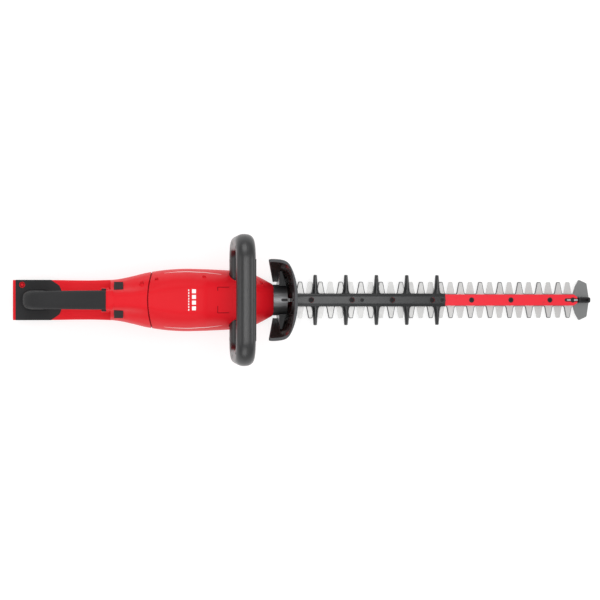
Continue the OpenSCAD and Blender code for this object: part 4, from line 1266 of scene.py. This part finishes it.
# ---------------------------------------------------------------- blades
@dataclass
class Cutter:
    """The two blades, the bar over them and its bolts. Sizes in millimetres."""

    pitch: float = 33.0
    count: int = 14
    half_span: float = 29.5
    tip: float = 7.0
    root: float = 14.5
    strip: float = 10.0
    first: float = 88.0
    ring: float = 24.75
    window: float = 19.75
    throw: float = 8.25
    bolt: float = 4.3
    grind: float = 1.5

    def build(self) -> None:
        """Builds both blades and dresses the bar."""
        self._blade("upper_blade", 1, "upper_cutter")
        self._blade("lower_blade", -1, "lower_cutter")
        dress_nodes(RED_BAR, "blade_bar", width=0.0009)
        dress_nodes(SCREW, "blade_bolts", "blade_nuts", "rail_guard_screws", width=0.0003)
        dress_nodes(STEEL, "blade_spacers", "blade_washers", width=0.0002)

    def _outline(self, side: int) -> list[Flat]:
        """One blade's plan, with its teeth's tips rounded a little.

        Args:
            side: 1 where the first tooth is on the left edge, -1 where it is on the right.
        Returns:
            The outline.
        """
        def tooth(x: float, edge: int) -> list[Flat]:
            """One tooth from its rear root to its front root.

            Args:
                x: Its middle.
                edge: 1 on the left edge, -1 on the right.
            Returns:
                The tooth's corners.
            """
            half, tip, wide = self.half_span, self.tip / 2, self.root / 2
            rise = [
                (-wide - 1, self.strip), (-wide + 0.6, self.strip + 2),
                (-tip, half - 1.2), (-tip + 1.1, half),
            ]
            return [(x + a, edge * y) for a, y in rise] + [(x - a, edge * y) for a, y in reversed(rise)]

        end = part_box("upper_blade")[1].x / MM
        points: list[Flat] = [(self.ring - 1, -self.strip)]
        for i in range(self.count):
            points += tooth(self.first + (i + (0.5 if side > 0 else 0)) * self.pitch, -1)
        points += [(end, -self.strip), (end, self.strip)]
        for i in reversed(range(self.count)):
            points += tooth(self.first + (i + (0 if side > 0 else 0.5)) * self.pitch, 1)[::-1]
        return points + [(self.ring - 1, self.strip)]

    def _slot(self, x: float, radius: float, run: float, span: Flat) -> bpy.types.Object:
        """Makes a slot with round ends, to cut a blade or to widen it.

        Args:
            x: Its middle.
            radius: Its ends' radius.
            run: How far it lets a pin slide each way.
            span: Its lower and upper ends, in metres.
        Returns:
            The slot.
        """
        return prism("slot", stadium(x * MM, radius * MM, (radius + run) * MM), *span)

    def _blade(self, node: str, side: int, body: str) -> None:
        """Builds one blade with ground tooth edges.

        Args:
            node: The CAD node that it stands for.
            side: 1 for the upper blade, -1 for the lower.
            body: The body that it rides on.
        """
        low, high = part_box(node)
        blade = prism(node + "_ground", mm_points(self._outline(side)), low.z, high.z)
        blade.data.materials.append(BLADE.material())
        blade.data.materials.append(GROUND_EDGE_SHADE.material())
        self._grind(blade, high.z if side > 0 else low.z)
        carve(blade, [self._slot(0, self.ring, self.throw, (low.z, high.z))], "UNION")
        through = (low.z - 1, high.z + 1)
        cuts = [self._slot(0, self.window, self.throw, through)]
        for i in range(self.count // 2):
            x = self.first + self.pitch / 2 + 2 * self.pitch * i
            cuts.append(self._slot(x, self.bolt, self.throw, through))
        tip_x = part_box("blade_bolts")[1].x / MM - 4 + self.throw
        cuts.append(self._slot(tip_x, self.bolt, 2 * self.throw, through))
        carve(blade, cuts)
        smooth(blade, 20)
        BLADE.mark(blade)
        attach(blade, body)
        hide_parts(node)
        LOG.info("built %s", blade.name)

    def _grind(self, blade: bpy.types.Object, face: float) -> None:
        """Grinds a slope along the tooth flanks on one face.

        Args:
            blade: The blade.
            face: The height of the face that is ground.
        """
        made = bmesh.new()
        made.from_mesh(blade.data)
        weight = made.edges.layers.float.new("bevel_weight_edge")
        for edge in made.edges:
            flat = all(abs(v.co.z - face) < TINY for v in edge.verts)
            out = min(abs(v.co.y) for v in edge.verts) > (self.strip - 0.2) * MM
            if flat and out and len(edge.link_faces) == 2:
                edge[weight] = 1.0
        made.to_mesh(blade.data)
        made.free()
        change = blade.modifiers.new("grind", "BEVEL")
        change.limit_method = "WEIGHT"
        change.width = self.grind * MM
        change.segments = 1
        # The slope takes the second material, whose darker colour is painted shade.
        change.material = 1
        change.use_clamp_overlap = True
        settle(blade)


# ---------------------------------------------------------------- guards
@dataclass
class RailGuard:
    """The ribbed guard over the bar, and the plate and bumper at the tip. Sizes in millimetres."""

    start: float = 82.0
    end: float = 324.0
    half: float = 10.35
    crown: float = 5.6
    first: float = 112.0
    pitch: float = 50.0
    count: int = 5
    reach: float = 40.5
    bolts: tuple[float, ...] = (104.5, 170.5, 236.5, 302.5)
    screws: tuple[float, ...] = (187.0, 319.0)
    pad: float = 5.6

    def build(self) -> None:
        """Builds the rail guard and dresses the tip guard."""
        self._rail()
        self._slot()
        dress_nodes(PLATE, "tip_plate", width=0.0005)
        dress_nodes(BLACK, "tip_bumper", width=0.0009)

    def _slot(self) -> None:
        """The slot in the bar's end, filled with a black piece that is painted shade, and the tensioner's two
        bright lands.
        """
        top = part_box("blade_bar")[1].z
        middle, low = 0.5367, top - 0.001
        # A black piece inside the slot paints the slot's shade.
        well = prism("tip_slot_shade", [(x + middle, y) for x, y in stadium(0, 0.0027, 0.0112)], low, top + 0.00012)
        place(ease(well, 0.0001), BLACK)
        for i, x in enumerate((0.5325, 0.5445)):
            land = block(f"tip_land_{i}", (x - 0.0032, -0.0012, low), (x + 0.0032, 0.0012, top + 0.0004))
            place(ease(land, 0.0003), STEEL)

    def _rail(self) -> None:
        """The channel over the bar with its fingers, whose flanks slope up to a narrow ridge."""
        low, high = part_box("rail_guard")
        floor, top = low.z / MM, high.z / MM - 0.6
        flank = [(self.half, floor), (self.half, top - 2.0), (self.half - 0.9, top - 1.3), (self.crown, top)]
        profile = flank + [(-y, z) for y, z in reversed(flank)]
        ends = (self.start, self.end)
        rail = skin("rail_channel", [mm_points((x, y, z) for y, z in profile) for x in ends])
        places = [self.first + self.pitch * i for i in range(self.count)]
        carve(rail, [self._finger(x, side, floor) for x in places for side, _ in SIDES], "UNION")
        joints = (*self.bolts, *self.screws)
        pads = [drum("pad", (x * MM, 0, (top - 1) * MM), (x * MM, 0, high.z), self.pad * MM) for x in joints]
        carve(rail, pads, "UNION")
        bar_low, bar_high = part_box("blade_bar")
        cuts = [block("bar_room", (0, -0.00905, 0), (1, 0.00905, bar_high.z + 0.00005))]
        for xs, start, radius in (
            (self.bolts, 0.01, 0.0044), (self.screws, 0.01, 0.0016),
            (self.screws, bar_low.z + 0.0078, 0.0030),
        ):
            cuts += [drum("hole", (x * MM, 0, start), (x * MM, 0, 0.1), radius) for x in xs]
        carve(rail, cuts)
        place(ease(rail, 0.0004, 2, 40), SLATE, "rail_guard")

    def _finger(self, x: float, side: int, floor: float) -> bpy.types.Object:
        """Makes one finger.

        Args:
            x: Its middle.
            side: 1 on the left, -1 on the right.
            floor: The height of its underside.
        Returns:
            The finger.
        """
        plan = [(8.6, 9.0), (5.4, 12.4), (4.4, 17.0), (2.8, self.reach - 1.2), (1.9, self.reach)]
        shoulder = 30
        rings = []
        for rise, share, short in ((0, 1.0, 0.0), (2.0, 1.0, 0.0), (4.6, 0.62, 0.5), (6.0, 0.22, 1.4)):
            z = floor + rise
            half = [(w * share, side * (y - (short if y > shoulder else 0))) for w, y in plan]
            ring = [(x + w, y, z) for w, y in half] + [(x - w, y, z) for w, y in reversed(half)]
            rings.append(mm_points(ring))
        return skin("finger", rings)


@dataclass
class HandGuard:
    """The smoked scoop in front of the body, with its grey edge. Sizes in millimetres."""

    steps: int = 24
    wall: float = 3.0
    half_low: float = 32.0
    half_top: float = 62.0
    front_low: float = 65.0
    front_top: float = 71.0

    def build(self) -> None:
        """Builds the guard and dresses its screws."""
        self._panel()
        self._rim()
        self._brackets()
        dress_nodes(SCREW, "guard_screws", width=0.0003)

    def _line(self, up: float, inset: float = 0.0) -> list[tuple[float, ...]]:
        """The guard's plan at a height.

        Args:
            up: 0 at its lower edge, 1 at its upper edge.
            inset: How far it moves inwards.
        Returns:
            Points of [x, y] from the right rear corner round to the left.
        """
        def mix(a: float, b: float) -> float:
            """Between the lower and the upper size."""
            return a + (b - a) * up

        wide, front = mix(self.half_low, self.half_top), mix(self.front_low, self.front_top)
        half = [
            (mix(46, 28), wide - inset),
            (mix(50, 34), wide - inset + mix(0, 0.6)),
            (front - mix(9, 20), wide - inset - mix(0, 1.0)),
            (front - mix(4, 11.5), wide * 0.88 - inset),
            (front - mix(1, 4.2) - inset * 0.8, wide * 0.6),
            (front - inset, wide * 0.26),
            (front - inset, 0),
        ]
        line = [(x, -y) for x, y in half[:-1]] + [(x, y) for x, y in reversed(half)]
        return cut_corners(line, 3)

    def _panel(self) -> None:
        """The smoked panel."""
        low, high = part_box("guard_panel")
        rings = []
        for up in evenly(0, 1, self.steps):
            z = low.z + (high.z - low.z) * up
            rings.append([(x * MM, y * MM, z) for x, y in self._line(up)])
        panel = skin("guard_panel_smoked", rings, closed=False, caps=False)
        thicken(panel, self.wall * MM)
        carve(panel, [
            mm_block("bar_gap", (0, -10.3, 0), (100, 10.3, 28)),
            mm_block("nose_gap", (0, -24.6, 0), (61.9, 24.6, 67)),
        ])
        place(ease(panel, 0.0008, 2, 50), SMOKE, "guard_panel")

    def _rim(self) -> None:
        """The grey edge along the panel's top."""
        low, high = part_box("guard_frame")
        rings = []
        inner = self._line(1.0, 4.2)
        for z, grow in ((low.z - 0.006, 0.35), (low.z - 0.001, 0.5), (high.z - 0.0012, 0.5), (high.z, 0.0)):
            ring = self._line(1.0, -grow) + inner[::-1]
            rings.append([(x * MM, y * MM, z) for x, y in ring])
        rim = skin("guard_edge", rings)
        place(ease(rim, 0.0006, 2, 40), FRAME_GREY, "guard_frame")

    def _brackets(self) -> None:
        """The webs that brace the panel's wings, the wings' rear edges, the nose's slot as a black piece of
        painted shade, and its clip.
        """
        low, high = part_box("guard_panel")
        for side, name in SIDES:
            rings = []
            for z, out, x in ((24, 36, 50), (50, 42, 49), (66, 45, 48)):
                plan = [(48, 22, z), (60, 22, z), (x + 4, out, z + 6), (x, out, z + 6)]
                rings.append(mm_points((px, side * py, pz) for px, py, pz in plan))
            web = skin(f"guard_web_{name}", rings)
            place(ease(web, 0.0006), SLATE)
            edge = []
            for up in evenly(0, 1, self.steps):
                x, y = self._line(up)[-1]
                z = (low.z + (high.z - low.z) * up) / MM
                rear, front, out, inner = x - 1.2, x + 1.0, side * (y + 0.3), side * (y - 3.3)
                edge.append(mm_points([(rear, out, z), (front, out, z), (front, inner, z), (rear, inner, z)]))
            place(ease(skin(f"guard_rear_edge_{name}", edge), 0.0005), FRAME_GREY)
        # The nose's slot is a black piece laid on the rim, painted shade in place of a hollow.
        slot = prism("nose_slot_shade", stadium(0.0565, 0.0022, 0.0050), 0.0655, 0.0667)
        place(ease(slot, 0.0002), BLACK)
        clip = block("nose_clip", (0.0618, -0.0030, 0.0655), (0.0656, 0.0030, 0.0676))
        place(ease(clip, 0.0006), PLATE)


# ---------------------------------------------------------------- bail handle
@dataclass
class BailHandle:
    """The loop handle over the body, in two shells. Sizes in millimetres."""

    x: float = -17.0
    half_depth: float = 14.5
    half_height: float = 13.0
    roundness: float = 0.86
    side: float = 85.0
    upper: float = 195.0
    lower: float = 84.0
    root: float = 33.0
    bend_low: float = 22.0
    bend_top: float = 26.0
    bend_steps: int = 12
    wall: float = 3.0
    gap: float = 0.4

    def build(self) -> None:
        """Builds both shells and dresses the switch."""
        self._shell(1, "bail_front_shell")
        self._shell(-1, "bail_rear_shell")
        dress_nodes(BLACK, "bail_switch_bar", width=0.0012)
        dress_nodes(BLACK, "bail_switch", width=0.0004)
        dress_nodes(STEEL, "bail_springs", width=0.0)
        dress_nodes(SCREW, "bail_screws", width=0.0003)

    def _stops(self) -> list[tuple[float, float, float]]:
        """The loop's middle line, from the left root round to the right.

        Returns:
            At each stop y, z and the way it runs.
        """
        left = [(self.root, self.lower, 0.0), (self.root + 14, self.lower, 0.0)]
        for z, r, start in (
            (self.lower + self.bend_low, self.bend_low, 0), (self.upper - self.bend_top, self.bend_top, 90)
        ):
            y = self.side - r
            for k in range(self.bend_steps + 1):
                turn = math.radians(start + 90 * k / self.bend_steps)
                left.append((y + r * math.sin(turn), z - r * math.cos(turn), turn))
        left += [(y, self.upper, math.pi) for y in (40, 20)]
        right = [(-y, z, 2 * math.pi - turn) for y, z, turn in reversed(left)]
        return left + [(0.0, self.upper, math.pi)] + right

    def _shell(self, side: int, node: str) -> None:
        """Builds one shell.

        Args:
            side: 1 for the front shell, -1 for the rear.
            node: The CAD node that it stands for.
        """
        sides = 16
        rings = []
        for y, z, turn in self._stops():
            ring = []
            for k in range(sides + 1):
                t = math.pi * k / sides - math.pi / 2
                c, s = math.cos(t), math.sin(t)
                depth = side * abs(c) ** self.roundness * self.half_depth
                out = math.copysign(abs(s) ** self.roundness, s) * self.half_height
                ring.append((self.x + depth, y + out * math.sin(turn), z - out * math.cos(turn)))
            rings.append(mm_points(ring if side > 0 else ring[::-1]))
        shell = skin(node + "_skin", rings, closed=False, caps=False)
        thicken(shell, self.wall * MM)
        cuts = []
        if side > 0:
            low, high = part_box("bail_switch_bar")
            room = Vector((0, self.gap * MM, self.gap * MM))
            start = low - room - Vector((0.004, 0, 0))
            cuts.append(block("switch_gap", tuple(start), tuple(high + room + Vector((0.01, 0, 0)))))
        else:
            for y, z in ((60, 84), (85, 130), (77.5, 187.5)):
                for s, _ in SIDES:
                    ends = mm_points([(-50, s * y, z), (-20, s * y, z)])
                    cuts.append(drum("hole", *ends, 0.003, 24))
        carve(shell, cuts)
        place(ease(shell, 0.0005, 2, 40), HANDLE, node)


# ---------------------------------------------------------------- studio
@dataclass
class Studio:
    """Floor, lights and camera."""

    tilt: float = math.radians(8.0)
    distance: float = 2.185
    aim: Point = (0.088, 0.0, 0.016)
    focal: float = 81.75

    def build(self) -> None:
        """Sets up the floor, the lights and the camera."""
        self._floor()
        self._lights()
        self._camera()

    def _floor(self) -> None:
        """The plain pale floor under the base."""
        size = 6.0
        floor = block("studio_floor", (-size, -size, -0.02), (size, size, -0.0002))
        shader = Shader("studio_floor")
        shade = shader.noise(3, detail=2)
        shader.set("Base Color", shader.mix(shade, (0.38, 0.38, 0.38), (0.41, 0.41, 0.41)))
        shader.set("Roughness", shader.noise(40) * 0.1 + 0.8)
        shader.set("Emission Color", (1.0, 1.0, 1.0, 1.0))
        shader.set("Emission Strength", 0.66)
        floor.data.materials.append(shader.material)

    def _lights(self) -> None:
        """Soft boxes overhead and to the sides, and a pale sky."""
        for name, where, size, power in (
            ("overhead", (0.1, 0.0, 2.7), 1.5, 20.0),
            ("left", (-0.3, 2.2, 1.7), 1.6, 20.0),
            ("right", (-0.3, -2.2, 1.7), 1.6, 15.0),
            ("rear", (-2.4, 0.0, 1.4), 1.4, 6.0),
            ("front", (2.4, 0.0, 1.6), 1.4, 10.0),
        ):
            data = bpy.data.lights.new(name, "AREA")
            data.size = size
            data.energy = power
            lamp = add_object(name, data)
            lamp.location = where
            lamp.rotation_euler = (Vector(self.aim) - Vector(where)).to_track_quat("-Z", "Y").to_euler()
        world = bpy.data.worlds.new("sky")
        world.use_nodes = True
        sky = world.node_tree.nodes["Background"]
        sky.inputs["Color"].default_value = (1, 1, 1, 1)
        sky.inputs["Strength"].default_value = 0.62
        bpy.context.scene.world = world
        bpy.context.scene.view_settings.view_transform = "Standard"

    def _camera(self) -> None:
        """A long lens above the tool, leaning a little to the rear."""
        data = bpy.data.cameras.new("camera")
        data.lens = self.focal
        data.sensor_width = 36.0
        data.clip_end = 50.0
        camera = add_object("camera", data)
        s, c = math.sin(self.tilt), math.cos(self.tilt)
        right, up, back = Vector((c, 0, s)), Vector((0, 1, 0)), Vector((-s, 0, c))
        turn = Matrix((right, up, back)).transposed().to_4x4()
        camera.matrix_world = Matrix.Translation(Vector(self.aim) + back * self.distance) @ turn
        bpy.context.scene.camera = camera


def main() -> None:
    """Builds and dresses the trimmer, sub-assembly by sub-assembly."""
    logging.basicConfig(level=logging.INFO, format="%(name)s: %(message)s")
    form = BodyForm()
    parts = (
        RearHandle(form), MotorBody(form), Gearcase(), Cutter(),
        RailGuard(), HandGuard(), BailHandle(), Studio(),
    )
    for part in parts:
        LOG.info("building %s", type(part).__name__)
        part.build()
    bpy.context.view_layer.update()


if __name__ == "__main__":
    main()
